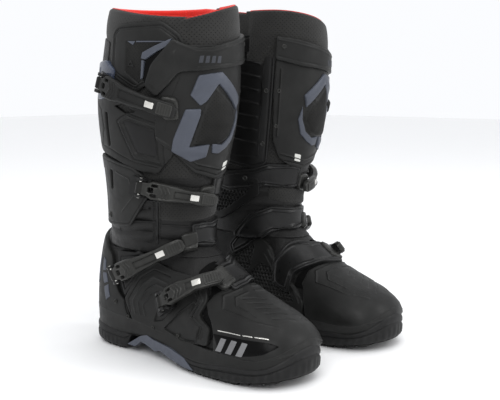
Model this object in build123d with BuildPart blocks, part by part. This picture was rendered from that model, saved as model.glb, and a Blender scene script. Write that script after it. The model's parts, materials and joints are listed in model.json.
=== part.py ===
"""A pair of motocross riding boots: a stiff foot shell and a hinged leg shell on each boot,
closed by four over-centre buckles and a shin plate that swings open as the entry flap.

Everything is modelled once, as the right boot, and mirrored to make the left one.
Units are millimetres, +Z is up, the toes point to -Y, the origin is on the floor midway
between the boots, and each boot's outer (lateral) side faces away from the other boot.
"""
import os
from math import cos, radians, sin, tan

from build123d import *

os.makedirs("parts", exist_ok=True)

# ---- driving dimensions -------------------------------------------------------------------
HALF_SPACING = 84.0  # from the middle of the pair to the middle of one boot
SOLE_TOP = 26.0  # the rubber sole's thickness, floor to upper
SHAFT_TOP = 400.0  # top of the padded collar
VAMP_TOP = 125.0  # where the stiff foot part ends at the ankle
GAITER_TOP = 205.0  # where the soft ankle ends and the leg shell starts
SKIN = 0.3  # air left between two layers that lie on each other
PAD = 7.0  # thickness of the padded collar
LINING = 1.7  # thickness of the textile lining
UPPER = 5.5  # thickness of the foot's soft upper
PLATE = 3.8  # thickness of the moulded shells and guards
GAITER = 5.0  # thickness of the soft ankle
INSOLE = 5.0  # thickness of the insole
FLAP_PLATE = (0.8, 4.8)  # growths of the shin plate's two faces over the leg form
FLAP_COVER = (5.1, 8.1)  # growths of the top band's faces, which lies over the shin plate
GROOVE = (120.0, 3.0, 3.5)  # length, width and depth of a groove between tread blocks
GROOVE_PITCH = 14.0
SHANK = (22.0, 150.0, 1.2)  # width, length and thickness of the steel shank
SHANK_MIDDLE = 48.0  # y of the shank's middle
SHANK_Z = 21.3  # height of its underside
ARCH_TOP = 19.4  # top of the insert under the arch
PIN_RADIUS = 1.55
PIN_BORE = 1.6
X0 = -HALF_SPACING  # middle of the right boot
ANKLE_AXIS = (78.0, 118.0)  # y and z of the level axis that the leg flexes about
FLAP_HINGE = (X0 + 57.0, 3.0)  # x and y of the upright axis of the shin flap

# Leg sections: height, centre y, half width, half length.
LEG = [
    (84, 67, 49, 75),
    (150, 64, 49, 68),
    (215, 58, 57, 75),
    (290, 53, 65, 87),
    (350, 47, 63, 84),
    (402, 42, 59, 79),
]

# Foot sections from toe to heel: y, half width, top of the upper.
FOOT = [
    (-152, 20, 44),
    (-141, 38, 56),
    (-112, 48, 68),
    (-72, 49, 85),
    (-37, 45, 106),
    (-7, 43, 130),
    (43, 44, 149),
    (100, 44, 150),
    (134, 36, 146),
    (150, 19, 134),
]
MID_FOOT = (FOOT[0][0] + FOOT[-1][0]) / 2
FORM_FLOOR = SOLE_TOP - 2  # the foot form starts a little inside the sole, and is cut off level


# ---- the two bodies that every layer is measured from ---------------------------------------
def leg_form(grow):
    """The solid inside of the shaft, made larger or smaller all round."""
    with BuildPart() as form:
        for z, centre_y, half_width, half_length in LEG:
            with BuildSketch(Plane.XY.offset(z)):
                with Locations((X0, centre_y)):
                    Ellipse(half_width + grow, half_length + grow)
        loft()
    return form.part


def foot_form(grow):
    """The foot's solid shape above the sole, made larger or smaller all round."""
    with BuildPart() as form:
        for y, half_width, top in FOOT:
            w = half_width + grow
            h = top + grow - FORM_FLOOR
            end_shift = grow * (y - MID_FOOT) / (FOOT[-1][0] - MID_FOOT)
            with BuildSketch(Plane.XZ.offset(-(y + end_shift))):
                with BuildLine():
                    Line((X0 - w, FORM_FLOOR), (X0 + w, FORM_FLOOR))
                    Spline(
                        (X0 + w, FORM_FLOOR),
                        (X0 + 0.97 * w, FORM_FLOOR + 0.42 * h),
                        (X0 + 0.62 * w, FORM_FLOOR + 0.86 * h),
                        (X0, FORM_FLOOR + h),
                        (X0 - 0.62 * w, FORM_FLOOR + 0.86 * h),
                        (X0 - 0.97 * w, FORM_FLOOR + 0.42 * h),
                        (X0 - w, FORM_FLOOR),
                    )
                make_face()
        loft()
    return form.part


def boot_form(grow):
    """Foot and leg together, for what is strapped round both."""
    return foot_form(grow) + leg_form(grow)


def leg_layer(inner, outer):
    """A sleeve round the leg between two growths of its form."""
    return leg_form(outer) - leg_form(inner)


def foot_layer(inner, outer):
    """A cover over the foot between two growths of its form, open at the sole."""
    return foot_form(outer) - foot_form(inner)


def side_prism(outline, x_low, x_high):
    """A block whose outline is drawn in side view, as (y, z) points."""
    with BuildPart() as prism:
        with BuildSketch(Plane.YZ.offset(x_low)):
            with BuildLine():
                Polyline(*outline, close=True)
            make_face()
        extrude(amount=x_high - x_low)
    return prism.part


def slab(z_low, z_high):
    """A level block as wide as the whole boot."""
    with BuildPart() as block:
        with BuildSketch(Plane.XY.offset(z_low)):
            with Locations((X0, 38)):
                Rectangle(260, 420)
        extrude(amount=z_high - z_low)
    return block.part


def leg_point(z, angle, grow):
    """A point on the leg: 0 degrees is the outer side, 90 the front and 180 the inner side."""
    for low, high in zip(LEG, LEG[1:]):
        if low[0] <= z <= high[0]:
            t = (z - low[0]) / (high[0] - low[0])
            centre_y, a, b = [p + t * (q - p) for p, q in zip(low[1:], high[1:])]
    return Vector(X0 - (a + grow) * cos(radians(angle)), centre_y - (b + grow) * sin(radians(angle)), z)


def leg_normal(z, angle):
    """The level outward direction at that point."""
    return (leg_point(z, angle, 1) - leg_point(z, angle, 0)).normalized()


# ---- the layers that several pieces are cut from --------------------------------------------
leg_pad = leg_layer(-PAD, 0)
leg_plate = leg_layer(SKIN, SKIN + PLATE)
flap_plate = leg_layer(*FLAP_PLATE)
flap_cover = leg_layer(*FLAP_COVER)
foot_plate = foot_layer(SKIN, SKIN + PLATE)

GUARD_Z = SOLE_TOP + SKIN  # where the upper and its guards start
OUTER = (X0 - 110, X0)  # x range of the outer half of the boot
INNER = (X0, X0 + 80)  # x range of the inner half
BOTH = (X0 - 110, X0 + 80)

# ---- sole ------------------------------------------------------------------------------------
SOLE_OUTLINE = [
    (0, 156),
    (-30, 146),
    (-44, 113),
    (-43, 68),
    (-49, 8),
    (-57, -52),
    (-55, -97),
    (-40, -139),
    (-4, -156),
    (30, -146),
    (48, -112),
    (52, -72),
    (44, -2),
    (40, 58),
    (42, 113),
    (28, 147),
]
# The recess under the instep, in side view.
ARCH = [(-14, -2), (4, ARCH_TOP + SKIN), (68, ARCH_TOP + SKIN), (86, -2)]


def sole_face():
    """The sole's outline seen from above."""
    with BuildSketch() as outline:
        with BuildLine():
            Spline(*[(X0 + x, y) for x, y in SOLE_OUTLINE], periodic=True)
        make_face()
    return outline.sketch


with BuildPart() as outsole:
    add(sole_face())
    extrude(amount=SOLE_TOP)
    fillet(outsole.faces().sort_by(Axis.Z)[0].edges(), 3.0)
    add(side_prism(ARCH, *BOTH), mode=Mode.SUBTRACT)
    # toe spring: the tread lifts towards the tip
    add(side_prism([(-90, -1), (-167, -1), (-167, 12)], *BOTH), mode=Mode.SUBTRACT)
    # tread blocks: level grooves across the forefoot and the heel
    with BuildSketch(Plane.XY):
        with Locations((X0, -67)):
            with GridLocations(0, GROOVE_PITCH, 1, 6):
                Rectangle(GROOVE[0], GROOVE[1])
        with Locations((X0, 116)):
            with GridLocations(0, GROOVE_PITCH, 1, 3):
                Rectangle(GROOVE[0], GROOVE[1])
    extrude(amount=GROOVE[2], mode=Mode.SUBTRACT)
    # pocket for the steel shank
    with BuildSketch(Plane.XY.offset(SHANK_Z - SKIN)):
        with Locations((X0, SHANK_MIDDLE)):
            Rectangle(SHANK[0] + 2 * SKIN, SHANK[1] + 2 * SKIN)
    extrude(amount=SHANK[2] + 2 * SKIN, mode=Mode.SUBTRACT)

with BuildPart() as arch_insert:
    add(sole_face())
    extrude(amount=ARCH_TOP)
    add(
        side_prism([(-5, 7), (4.5, ARCH_TOP), (67.5, ARCH_TOP), (77, 7), (58, 5), (28, 9)], *BOTH),
        mode=Mode.INTERSECT,
    )

with BuildPart() as shank:
    with BuildSketch(Plane.XY.offset(SHANK_Z)):
        with Locations((X0, SHANK_MIDDLE)):
            RectangleRounded(SHANK[0], SHANK[1], 8)
    extrude(amount=SHANK[2])

# ---- foot: insole, upper and its guards --------------------------------------------------------
with BuildPart() as insole:
    add(foot_form(-UPPER - 0.4))
    add(slab(SOLE_TOP + SKIN, SOLE_TOP + INSOLE), mode=Mode.INTERSECT)

with BuildPart() as vamp:
    add(foot_layer(-UPPER, 0))
    add(slab(GUARD_Z, VAMP_TOP), mode=Mode.INTERSECT)

with BuildPart() as toe_cap:
    add(foot_plate)
    add(
        side_prism([(-172, GUARD_Z), (-74, GUARD_Z), (-84, 45), (-62, 120), (-172, 120)], *BOTH),
        mode=Mode.INTERSECT,
    )

with BuildPart() as heel_counter:
    add(foot_plate)
    add(
        side_prism([(168, GUARD_Z), (84, GUARD_Z), (98, 60), (82, 92), (104, 122), (168, 122)], *BOTH),
        mode=Mode.INTERSECT,
    )

with BuildPart() as lateral_guard:
    add(foot_plate)
    add(
        side_prism(
            [(83, GUARD_Z), (97, 60), (78, 92), (8, 100), (-24, 84), (-66, 44), (-63, GUARD_Z)],
            *OUTER,
        ),
        mode=Mode.INTERSECT,
    )

with BuildPart() as medial_guard:
    add(foot_plate)
    add(
        side_prism(
            [(83, GUARD_Z), (97, 60), (78, 92), (38, 112), (8, 96), (-32, 70), (-68, 44), (-63, GUARD_Z)],
            *INNER,
        ),
        mode=Mode.INTERSECT,
    )

# ---- soft ankle and padded shaft -----------------------------------------------------------------
with BuildPart() as ankle_gaiter:
    add(leg_layer(-GAITER, 0))
    add(slab(VAMP_TOP + 2, GAITER_TOP), mode=Mode.INTERSECT)

with BuildPart() as collar:
    add(leg_pad)
    add(slab(GAITER_TOP + 0.5, SHAFT_TOP), mode=Mode.INTERSECT)

with BuildPart() as lining:
    add(leg_layer(-PAD - SKIN - LINING, -PAD - SKIN))
    add(slab(GAITER_TOP + 3, SHAFT_TOP + 0.5), mode=Mode.INTERSECT)

# ---- leg shells ------------------------------------------------------------------------------------
SPINE_HALF = 24.0  # half width of the rear spine
OUTER_SHELL = (X0 - 110, X0 - SPINE_HALF - 0.5)  # x range beside the spine, outer side
INNER_SHELL = (X0 + SPINE_HALF + 0.5, X0 + 80)  # and inner side
with BuildPart() as rear_spine:
    add(leg_plate)
    add(
        side_prism([(98, 137), (168, 137), (168, 330), (98, 330)], X0 - SPINE_HALF, X0 + SPINE_HALF),
        mode=Mode.INTERSECT,
    )

with BuildPart() as lateral_shell:
    add(leg_plate)
    add(
        side_prism(
            [(135, 222), (98, 206), (16, 208), (12, 262), (46, 284), (108, 300), (138, 296)],
            *OUTER_SHELL,
        ),
        mode=Mode.INTERSECT,
    )

with BuildPart() as top_panel:
    add(leg_plate)
    outline = [(138, 300), (108, 304), (50, 288), (30, 305), (16, 340)]
    outline += [(8, 372), (60, 384), (122, 380), (134, 330)]
    add(side_prism(outline, *OUTER_SHELL), mode=Mode.INTERSECT)

with BuildPart() as medial_shell:
    add(leg_plate)
    add(
        side_prism(
            [(135, 222), (98, 206), (14, 212), (14, 352), (68, 372), (122, 372), (136, 300)],
            *INNER_SHELL,
        ),
        mode=Mode.INTERSECT,
    )

# ---- shin flap ---------------------------------------------------------------------------------------
with BuildPart() as shin_plate:
    add(flap_plate)
    add(
        side_prism(
            [(-72, 203), (-14, 203), (-2, 220), (2, 262), (2, 340), (-12, 356), (-72, 356)], *BOTH
        ),
        mode=Mode.INTERSECT,
    )

with BuildPart() as top_band:
    add(flap_cover)
    add(
        side_prism(
            [(-72, 326), (-24, 324), (-6, 318), (1, 324), (1, 346), (-14, 362), (-72, 352)], *BOTH
        ),
        mode=Mode.INTERSECT,
    )


# ---- buckles ---------------------------------------------------------------------------------------
class Buckle:
    """One buckle: a lever that pivots at its rear end and latches at its front end.

    Each end has its own outward direction, and the arm bows from one to the other.
    """

    width = 15.0  # width of the lever
    ear = 2.8  # thickness of each ear of the base
    gap = 0.4  # air between lever and ear

    def __init__(self, pivot, pivot_out, latch, latch_out):
        self.pivot = pivot
        along = (latch - pivot).normalized()
        self.length = (latch - pivot).length
        self.axis = (pivot_out + latch_out).cross(along).normalized()
        turn = pivot_out.get_angle(latch_out)
        self.bow = self.length / 2 * tan(radians(turn / 4))
        self.arm_plane = Plane(origin=pivot, x_dir=along, z_dir=-self.axis)
        base_x = self.axis.cross(pivot_out).normalized()
        self.base_plane = Plane(origin=pivot, x_dir=base_x, z_dir=base_x.cross(self.axis))
        self.ear_plane = Plane(origin=pivot, x_dir=base_x, z_dir=-self.axis)
        catch_x = along.rotate(Axis((0, 0, 0), self.axis), turn / 2)
        self.catch_plane = Plane(origin=latch, x_dir=catch_x, z_dir=catch_x.cross(self.axis))


def lever_solid(buckle):
    """The lever: a pivot eye, a bowed arm and a turned-up thumb tip."""
    length, bow = buckle.length, buckle.bow
    with BuildPart() as lever:
        with BuildSketch(buckle.arm_plane):
            with BuildLine():
                ThreePointArc((0, -2.2), (length / 2, bow - 2.2), (length, -2.2))
                Line((length, -2.2), (length + 7, 0.6))
                Line((length + 7, 0.6), (length + 7, 3.4))
                Line((length + 7, 3.4), (length, 2.4))
                ThreePointArc((length, 2.4), (length / 2, bow + 2.4), (0, 2.4))
                Line((0, 2.4), (0, -2.2))
            make_face()
            Circle(4.6)
        extrude(amount=buckle.width / 2, both=True)
        with BuildSketch(buckle.arm_plane.offset(-buckle.width)):
            Circle(PIN_BORE)
        extrude(amount=2 * buckle.width, mode=Mode.SUBTRACT)
    return lever.part


def base_solid(buckle, reach=13.0):
    """The riveted base plate with the two ears that carry the pin."""
    half = buckle.width / 2 + buckle.gap
    with BuildPart() as base:
        with BuildSketch(buckle.base_plane.offset(-8.6)):
            with Locations((-3, 0)):
                RectangleRounded(reach * 2, 2 * (half + buckle.ear), 3)
        extrude(amount=2.6)
        for low in (half, -half - buckle.ear):
            with BuildSketch(buckle.ear_plane.offset(low)):
                with BuildLine():
                    Polyline((-6, -6.5), (-4, 3), (0, 4.5), (4, 3), (6, -6.5), close=True)
                make_face()
                Circle(PIN_BORE, mode=Mode.SUBTRACT)
            extrude(amount=buckle.ear)
    return base.part


def pin_solid(buckle):
    """The steel pin through both ears and the lever."""
    half = buckle.width / 2 + buckle.gap + buckle.ear + 0.6
    with BuildPart() as pin:
        with BuildSketch(buckle.arm_plane.offset(-half)):
            Circle(PIN_RADIUS)
        extrude(amount=2 * half)
    return pin.part


def catch_solid(buckle):
    """The toothed catch plate that the lever draws in."""
    low, high = -6.7, -3.1
    with BuildPart() as catch:
        with BuildSketch(buckle.catch_plane.offset(low)):
            with Locations((-2, 0)):
                RectangleRounded(14, buckle.width + 3, 3)
        extrude(amount=high - low)
        with BuildSketch(buckle.catch_plane.offset(high - 0.9)):
            with Locations((-2, 0)):
                with GridLocations(3.5, 0, 3, 1):
                    Rectangle(1.4, buckle.width - 4)
        extrude(amount=2, mode=Mode.SUBTRACT)
    return catch.part


STAND = 14.9  # how far a lever's pivot stands off the leg or foot form
LATCH = 10.8  # how far its latch end does


def leg_buckle(pivot_z, pivot_angle, latch_z, latch_angle, latch_stand=LATCH):
    """A buckle whose two ends both stand on the leg form."""
    return Buckle(
        leg_point(pivot_z, pivot_angle, STAND),
        leg_normal(pivot_z, pivot_angle),
        leg_point(latch_z, latch_angle, latch_stand),
        leg_normal(latch_z, latch_angle),
    )


top_buckle = leg_buckle(313, -17, 284, 40, latch_stand=13.2)
calf_buckle = leg_buckle(199, 20, 184, 84)
ankle_buckle = Buckle(
    Vector(X0 - 62, 80, 94), Vector(-1, 0.05, 0), leg_point(133, 52, LATCH + 0.6), leg_normal(133, 52)
)
instep_buckle = Buckle(
    Vector(X0 - 60, 4, 74), Vector(-0.99, 0, 0.14), Vector(X0 - 33.5, -52.7, 105), Vector(-0.45, -0.53, 0.72)
)

with BuildPart() as top_lever:
    add(lever_solid(top_buckle))
with BuildPart() as calf_lever:
    add(lever_solid(calf_buckle))
with BuildPart() as ankle_lever:
    add(lever_solid(ankle_buckle))
with BuildPart() as instep_lever:
    add(lever_solid(instep_buckle))
with BuildPart() as leg_buckle_bases:
    add(base_solid(top_buckle))
    add(base_solid(calf_buckle))
with BuildPart() as leg_pins:
    add(pin_solid(top_buckle))
    add(pin_solid(calf_buckle))
with BuildPart() as foot_buckle_bases:
    add(base_solid(ankle_buckle))
    add(base_solid(instep_buckle))
with BuildPart() as foot_pins:
    add(pin_solid(ankle_buckle))
    add(pin_solid(instep_buckle))
with BuildPart() as flap_catch:
    add(catch_solid(top_buckle))
with BuildPart() as foot_catches:
    add(catch_solid(ankle_buckle))
    add(catch_solid(instep_buckle))

# ---- straps ------------------------------------------------------------------------------------------
STRAP_IN, STRAP_OUT = 0.9, 3.1  # growth of a strap's two faces over the leg form
with BuildPart() as calf_strap:
    add(leg_layer(STRAP_IN, STRAP_OUT))
    add(
        side_prism([(-42, 174), (78, 182), (78, 202), (-42, 194)], X0 - 24, X0 + 80),
        mode=Mode.INTERSECT,
    )

with BuildPart() as foot_straps:
    add(boot_form(3.4) - boot_form(1.0))
    add(
        side_prism([(-24, 128), (72, 92), (80, 112), (-24, 150)], X0 - 45, X0 + 80),
        mode=Mode.INTERSECT,
    )
    add(
        foot_layer(PLATE + 0.6, PLATE + 2.8)
        & side_prism([(-14, 60), (-40, 50), (-74, 118), (-42, 132)], X0 - 34, X0 + 80)
    )

# ---- every piece, for the right boot and, mirrored, for the left --------------------------------------
pieces = {
    "outsole": outsole,
    "arch_insert": arch_insert,
    "shank": shank,
    "insole": insole,
    "vamp": vamp,
    "toe_cap": toe_cap,
    "heel_counter": heel_counter,
    "lateral_guard": lateral_guard,
    "medial_guard": medial_guard,
    "ankle_gaiter": ankle_gaiter,
    "collar": collar,
    "lining": lining,
    "rear_spine": rear_spine,
    "lateral_shell": lateral_shell,
    "top_panel": top_panel,
    "medial_shell": medial_shell,
    "shin_plate": shin_plate,
    "top_band": top_band,
    "flap_catch": flap_catch,
    "top_lever": top_lever,
    "calf_lever": calf_lever,
    "ankle_lever": ankle_lever,
    "instep_lever": instep_lever,
    "leg_buckle_bases": leg_buckle_bases,
    "leg_pins": leg_pins,
    "foot_buckle_bases": foot_buckle_bases,
    "foot_pins": foot_pins,
    "foot_catches": foot_catches,
    "calf_strap": calf_strap,
    "foot_straps": foot_straps,
}

for name, piece in pieces.items():
    piece.part.label = f"right_{name}"
    export_step(piece.part, f"parts/right_{name}.step")
    with BuildPart() as mirrored:
        mirror(piece.part, about=Plane.YZ)
    mirrored.part.label = f"left_{name}"
    export_step(mirrored.part, f"parts/left_{name}.step")

buckles = {"top": top_buckle, "calf": calf_buckle, "ankle": ankle_buckle, "instep": instep_buckle}
print("ankle axis, y and z:", ANKLE_AXIS, "flap hinge, x and y:", FLAP_HINGE)
for name, buckle in buckles.items():
    print(name, "lever pivot", buckle.pivot, "axis", buckle.axis, "length", round(buckle.length, 1))
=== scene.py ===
"""Looks for a pair of motocross riding boots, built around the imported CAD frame.

Every piece is made once, for the right boot, in millimetres from the middle of that boot:
the outer side faces -x, the toes point to -y and the floor is z = 0. emit() then places it
in the shared frame and mirrors it for the left boot.
"""
import json
import math

import bmesh
import bpy
import numpy as np
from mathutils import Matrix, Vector
from mathutils.bvhtree import BVHTree
from mathutils.geometry import delaunay_2d_cdt


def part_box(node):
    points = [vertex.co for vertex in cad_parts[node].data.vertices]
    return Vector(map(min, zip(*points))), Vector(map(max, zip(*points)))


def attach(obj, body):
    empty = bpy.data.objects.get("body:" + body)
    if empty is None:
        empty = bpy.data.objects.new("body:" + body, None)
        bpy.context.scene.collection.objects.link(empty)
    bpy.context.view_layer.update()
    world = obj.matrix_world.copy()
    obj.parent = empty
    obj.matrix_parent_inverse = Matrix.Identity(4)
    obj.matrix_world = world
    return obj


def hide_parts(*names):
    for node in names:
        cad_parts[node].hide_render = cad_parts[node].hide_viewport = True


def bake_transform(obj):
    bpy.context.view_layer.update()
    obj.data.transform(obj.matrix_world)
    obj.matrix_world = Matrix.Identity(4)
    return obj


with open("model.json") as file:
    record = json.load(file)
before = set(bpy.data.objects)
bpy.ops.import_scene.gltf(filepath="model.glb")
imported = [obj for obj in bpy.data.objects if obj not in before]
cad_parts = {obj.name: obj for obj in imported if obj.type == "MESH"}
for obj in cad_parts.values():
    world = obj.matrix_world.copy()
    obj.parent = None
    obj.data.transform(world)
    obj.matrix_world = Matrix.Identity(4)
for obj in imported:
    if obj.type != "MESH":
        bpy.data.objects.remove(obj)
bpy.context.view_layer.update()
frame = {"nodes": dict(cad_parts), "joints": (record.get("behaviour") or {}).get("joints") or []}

shank_low, shank_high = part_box("right_shank")
SPACING = -(shank_low.x + shank_high.x) * 500  # from the middle of the pair to the middle of a boot
FINE = 1.9  # usual distance between a moulded plate's points


# ---- curves and distances ------------------------------------------------------------------------
def spline(xs, ys):
    """The natural cubic curve through the points, as a function."""
    xs, ys = np.asarray(xs, float), np.asarray(ys, float)
    n, h = len(xs), np.diff(xs)
    system, right = np.eye(n), np.zeros(n)
    for i in range(1, n - 1):
        system[i, i - 1 : i + 2] = h[i - 1], 2 * (h[i - 1] + h[i]), h[i]
        right[i] = 6 * ((ys[i + 1] - ys[i]) / h[i] - (ys[i] - ys[i - 1]) / h[i - 1])
    m = np.linalg.solve(system, right)

    def value(x):
        x = np.clip(x, xs[0], xs[-1])
        i = np.clip(np.searchsorted(xs, x, side="right") - 1, 0, n - 2)
        t0, t1, w = x - xs[i], xs[i + 1] - x, h[i]
        cubic = (m[i] * t1**3 + m[i + 1] * t0**3) / (6 * w)
        return cubic + (ys[i] / w - m[i] * w / 6) * t1 + (ys[i + 1] / w - m[i + 1] * w / 6) * t0

    return value


def smooth(t):
    t = np.clip(t, 0, 1)
    return t * t * (3 - 2 * t)


def dense(points, spacing, closed):
    """The same line with points no further apart than spacing."""
    points = [np.asarray(p, float) for p in points]
    pairs = list(zip(points, points[1:] + points[:1])) if closed else list(zip(points, points[1:]))
    out = []
    for a, b in pairs:
        count = max(1, math.ceil(np.linalg.norm(b - a) / spacing))
        out += [a + (b - a) * k / count for k in range(count)]
    return np.array(out if closed else out + [points[-1]])


def rounded(points, radius, closed=True):
    """A polygon or open line with its corners rounded."""
    points = [np.asarray(p, float) for p in points]
    n, out = len(points), []
    for i, p in enumerate(points):
        if not closed and i in (0, n - 1):
            out.append(p)
            continue
        a, b = points[i - 1] - p, points[(i + 1) % n] - p
        la, lb = np.linalg.norm(a), np.linalg.norm(b)
        cut = min(radius, 0.45 * la, 0.45 * lb)
        start, end = p + a / la * cut, p + b / lb * cut
        out += [(1 - t) ** 2 * start + 2 * t * (1 - t) * p + t * t * end for t in np.linspace(0, 1, 6)]
    return out


def distance(P, line, closed):
    """How far each point is from a line of points."""
    line = np.asarray(line)
    ends = np.roll(line, -1, axis=0) if closed else line[1:]
    starts = line if closed else line[:-1]
    best = np.full(len(P), 1e9)
    for a, b in zip(starts, ends):
        d = b - a
        t = np.clip(((P - a) @ d) / max(d @ d, 1e-9), 0, 1)
        best = np.minimum(best, np.hypot(*(P - a - t[:, None] * d).T))
    return best


def inside(P, ring):
    """Which points are inside a closed ring."""
    ring = np.asarray(ring)
    result = np.zeros(len(P), bool)
    for (x0, y0), (x1, y1) in zip(ring, np.roll(ring, -1, axis=0)):
        if y0 != y1:
            hit = (P[:, 1] > y0) != (P[:, 1] > y1)
            result ^= hit & (P[:, 0] < (x1 - x0) * (P[:, 1] - y0) / (y1 - y0) + x0)
    return result


# ---- the boot's form: the leg as stacked ellipses, the foot as a row of arched sections ----------
LEG = np.array([
    (84, 67, 49, 75),
    (150, 64, 49, 68),
    (215, 58, 57, 75),
    (290, 53, 65, 87),
    (350, 47, 63, 84),
    (404, 42, 59, 79),
], float)  # height, centre y, half width, half length
leg_y, leg_a, leg_b = [spline(LEG[:, 0], LEG[:, k]) for k in (1, 2, 3)]

FOOT = np.array([
    (-152.6, 1, 37),
    (-151.4, 11, 41),
    (-148, 23, 47.5),
    (-141, 36, 55),
    (-128, 44, 62),
    (-112, 48, 68.5),
    (-72, 49, 85),
    (-37, 45, 106),
    (-7, 43, 130),
    (43, 44, 149),
    (100, 44, 150),
    (122, 40, 148),
    (137, 32, 144),
    (145, 23, 138),
    (149.4, 12, 133),
    (150.6, 1, 131),
], float)  # y, half width, top
FLOOR = 24.0  # where the foot form starts, just inside the sole
ANKLE_JOIN = 122.0  # where the leg starts inside the foot
LEG_TOP = 404.0
VOXEL = 2.6  # grid that joins foot and leg into one smooth form
steps = np.hypot(np.diff(FOOT[:, 0]), np.diff(FOOT[:, 1]))
run = np.concatenate([[0], np.cumsum(steps)])
foot_y, foot_w, foot_top = [spline(run, FOOT[:, k]) for k in range(3)]
arch_x = spline(range(7), [-1, -0.97, -0.62, 0, 0.62, 0.97, 1])
arch_z = spline(range(7), [0, 0.42, 0.86, 1, 0.86, 0.42, 0])


def leg_at(angle, z, grow=0.0):
    """A point on the leg: 0 degrees is the outer side, 90 the front, 180 the inner side."""
    t, z = np.radians(angle), np.asarray(z, float)
    x = -(leg_a(z) + grow) * np.cos(t)
    y = leg_y(z) - (leg_b(z) + grow) * np.sin(t)
    return np.stack([x, y, z + 0 * x], -1)


def unit(v):
    return v / np.maximum(np.linalg.norm(v, axis=-1, keepdims=True), 1e-9)


def leg_surface(angle, z):
    normal = np.cross(leg_at(angle + 0.5, z) - leg_at(angle - 0.5, z), leg_at(angle, z + 1)
        - leg_at(angle, z - 1))
    return leg_at(angle, z), unit(normal)


DEG = np.linspace(-260, 460, 1441)
mean = np.stack([-61 * np.cos(np.radians(DEG)), -81 * np.sin(np.radians(DEG))], -1)
ARC = np.concatenate([[0], np.cumsum(np.linalg.norm(np.diff(mean, axis=0), axis=1))])
ARC -= np.interp(0, DEG, ARC)


def leg_uv(*points):
    """(degrees, height) to the leg chart's millimetres."""
    return [(float(np.interp(a, DEG, ARC)), float(z)) for a, z in points]


def leg_chart(P):
    return leg_surface(np.interp(P[:, 0], ARC, DEG), P[:, 1])


def grid_faces(rows, columns, close_rows=False, close_columns=False):
    faces = []
    for i in range(rows if close_rows else rows - 1):
        for j in range(columns if close_columns else columns - 1):
            a, b = i * columns + j, i * columns + (j + 1) % columns
            c, d = ((i + 1) % rows) * columns + (j + 1) % columns, ((i + 1) % rows) * columns + j
            faces.append((a, b, c, d))
    return faces


def form_mesh():
    """One smooth closed body of foot and leg."""
    u, s = np.linspace(0, run[-1], 150), np.linspace(0, 6, 61)
    foot = np.array([[(foot_w(a) * arch_x(b), foot_y(a), FLOOR + (foot_top(a) - FLOOR) * arch_z(b))
                for b in s] for a in u])
    n, m = foot.shape[:2]
    verts = foot.reshape(-1, 3).tolist()
    faces = [tuple(reversed(f)) for f in grid_faces(n, m)]
    faces += [((i + 1) * m, i * m, i * m + m - 1, (i + 1) * m + m - 1) for i in range(n - 1)]
    faces += [tuple(range(m)), tuple(range((n - 1) * m, n * m))[::-1]]
    base = len(verts)
    zs, angles = np.linspace(ANKLE_JOIN, LEG_TOP, 80), np.arange(0, 360, 4)
    leg = np.array([leg_at(angles, z) for z in zs])
    verts += leg.reshape(-1, 3).tolist()
    k = len(angles)
    faces += [tuple(base + v for v in f) for f in grid_faces(len(zs), k, close_columns=True)]
    faces += [tuple(base + v for v in range(k))[::-1], tuple(base + (len(zs) - 1) * k + v
            for v in range(k))]
    mesh = bpy.data.meshes.new("form")
    mesh.from_pydata(verts, [], faces)
    ob = bpy.data.objects.new("form", mesh)
    bpy.context.scene.collection.objects.link(ob)
    bm = bmesh.new()
    bm.from_mesh(mesh)
    bmesh.ops.recalc_face_normals(bm, faces=bm.faces)
    bm.to_mesh(mesh)
    bm.free()
    remesh = ob.modifiers.new("remesh", "REMESH")
    remesh.mode, remesh.voxel_size = "VOXEL", VOXEL
    relax = ob.modifiers.new("relax", "SMOOTH")
    relax.factor, relax.iterations = 0.5, 9
    ob.modifiers.new("tri", "TRIANGULATE")
    got = ob.evaluated_get(bpy.context.evaluated_depsgraph_get()).to_mesh()
    v = np.array([p.co for p in got.vertices])
    n = np.array([p.normal for p in got.vertices])
    t = np.array([p.vertices for p in got.polygons])
    bpy.data.objects.remove(ob)
    return v, n, t


form_verts, form_normals, form_tris = form_mesh()
form_tree = BVHTree.FromPolygons(form_verts.tolist(), form_tris.tolist())


def form_hit(origins, directions):
    """Where rays meet the form, with the smooth normal there."""
    points, faces = np.zeros((len(origins), 3)), np.zeros(len(origins), int)
    for i, (o, d) in enumerate(zip(origins, directions)):
        hit, _, face, _ = form_tree.ray_cast(Vector(o), Vector(d))
        if hit is None:
            hit, _, face, _ = form_tree.find_nearest(Vector(o))
        points[i], faces[i] = hit, face
    corners = form_tris[faces]
    a, b, c = (form_verts[corners[:, k]] for k in range(3))
    whole = np.cross(b - a, c - a)
    area = np.maximum((whole * whole).sum(1), 1e-12)
    wb = (np.cross(points - a, c - a) * whole).sum(1) / area
    wc = (np.cross(b - a, points - a) * whole).sum(1) / area
    na, nb, nc = (form_normals[corners[:, k]] for k in range(3))
    return points, unit(na * (1 - wb - wc)[:, None] + nb * wb[:, None] + nc * wc[:, None])


def side_chart(sign):
    """Chart of one side of the foot, whose coordinates are y and z: sign -1 is the outer side."""

    def chart(P):
        origins = np.stack([np.full(len(P), sign * 120.0), P[:, 0], P[:, 1]], -1)
        return form_hit(origins, np.tile([-sign, 0.0, 0.0], (len(P), 1)))

    return chart


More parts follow.
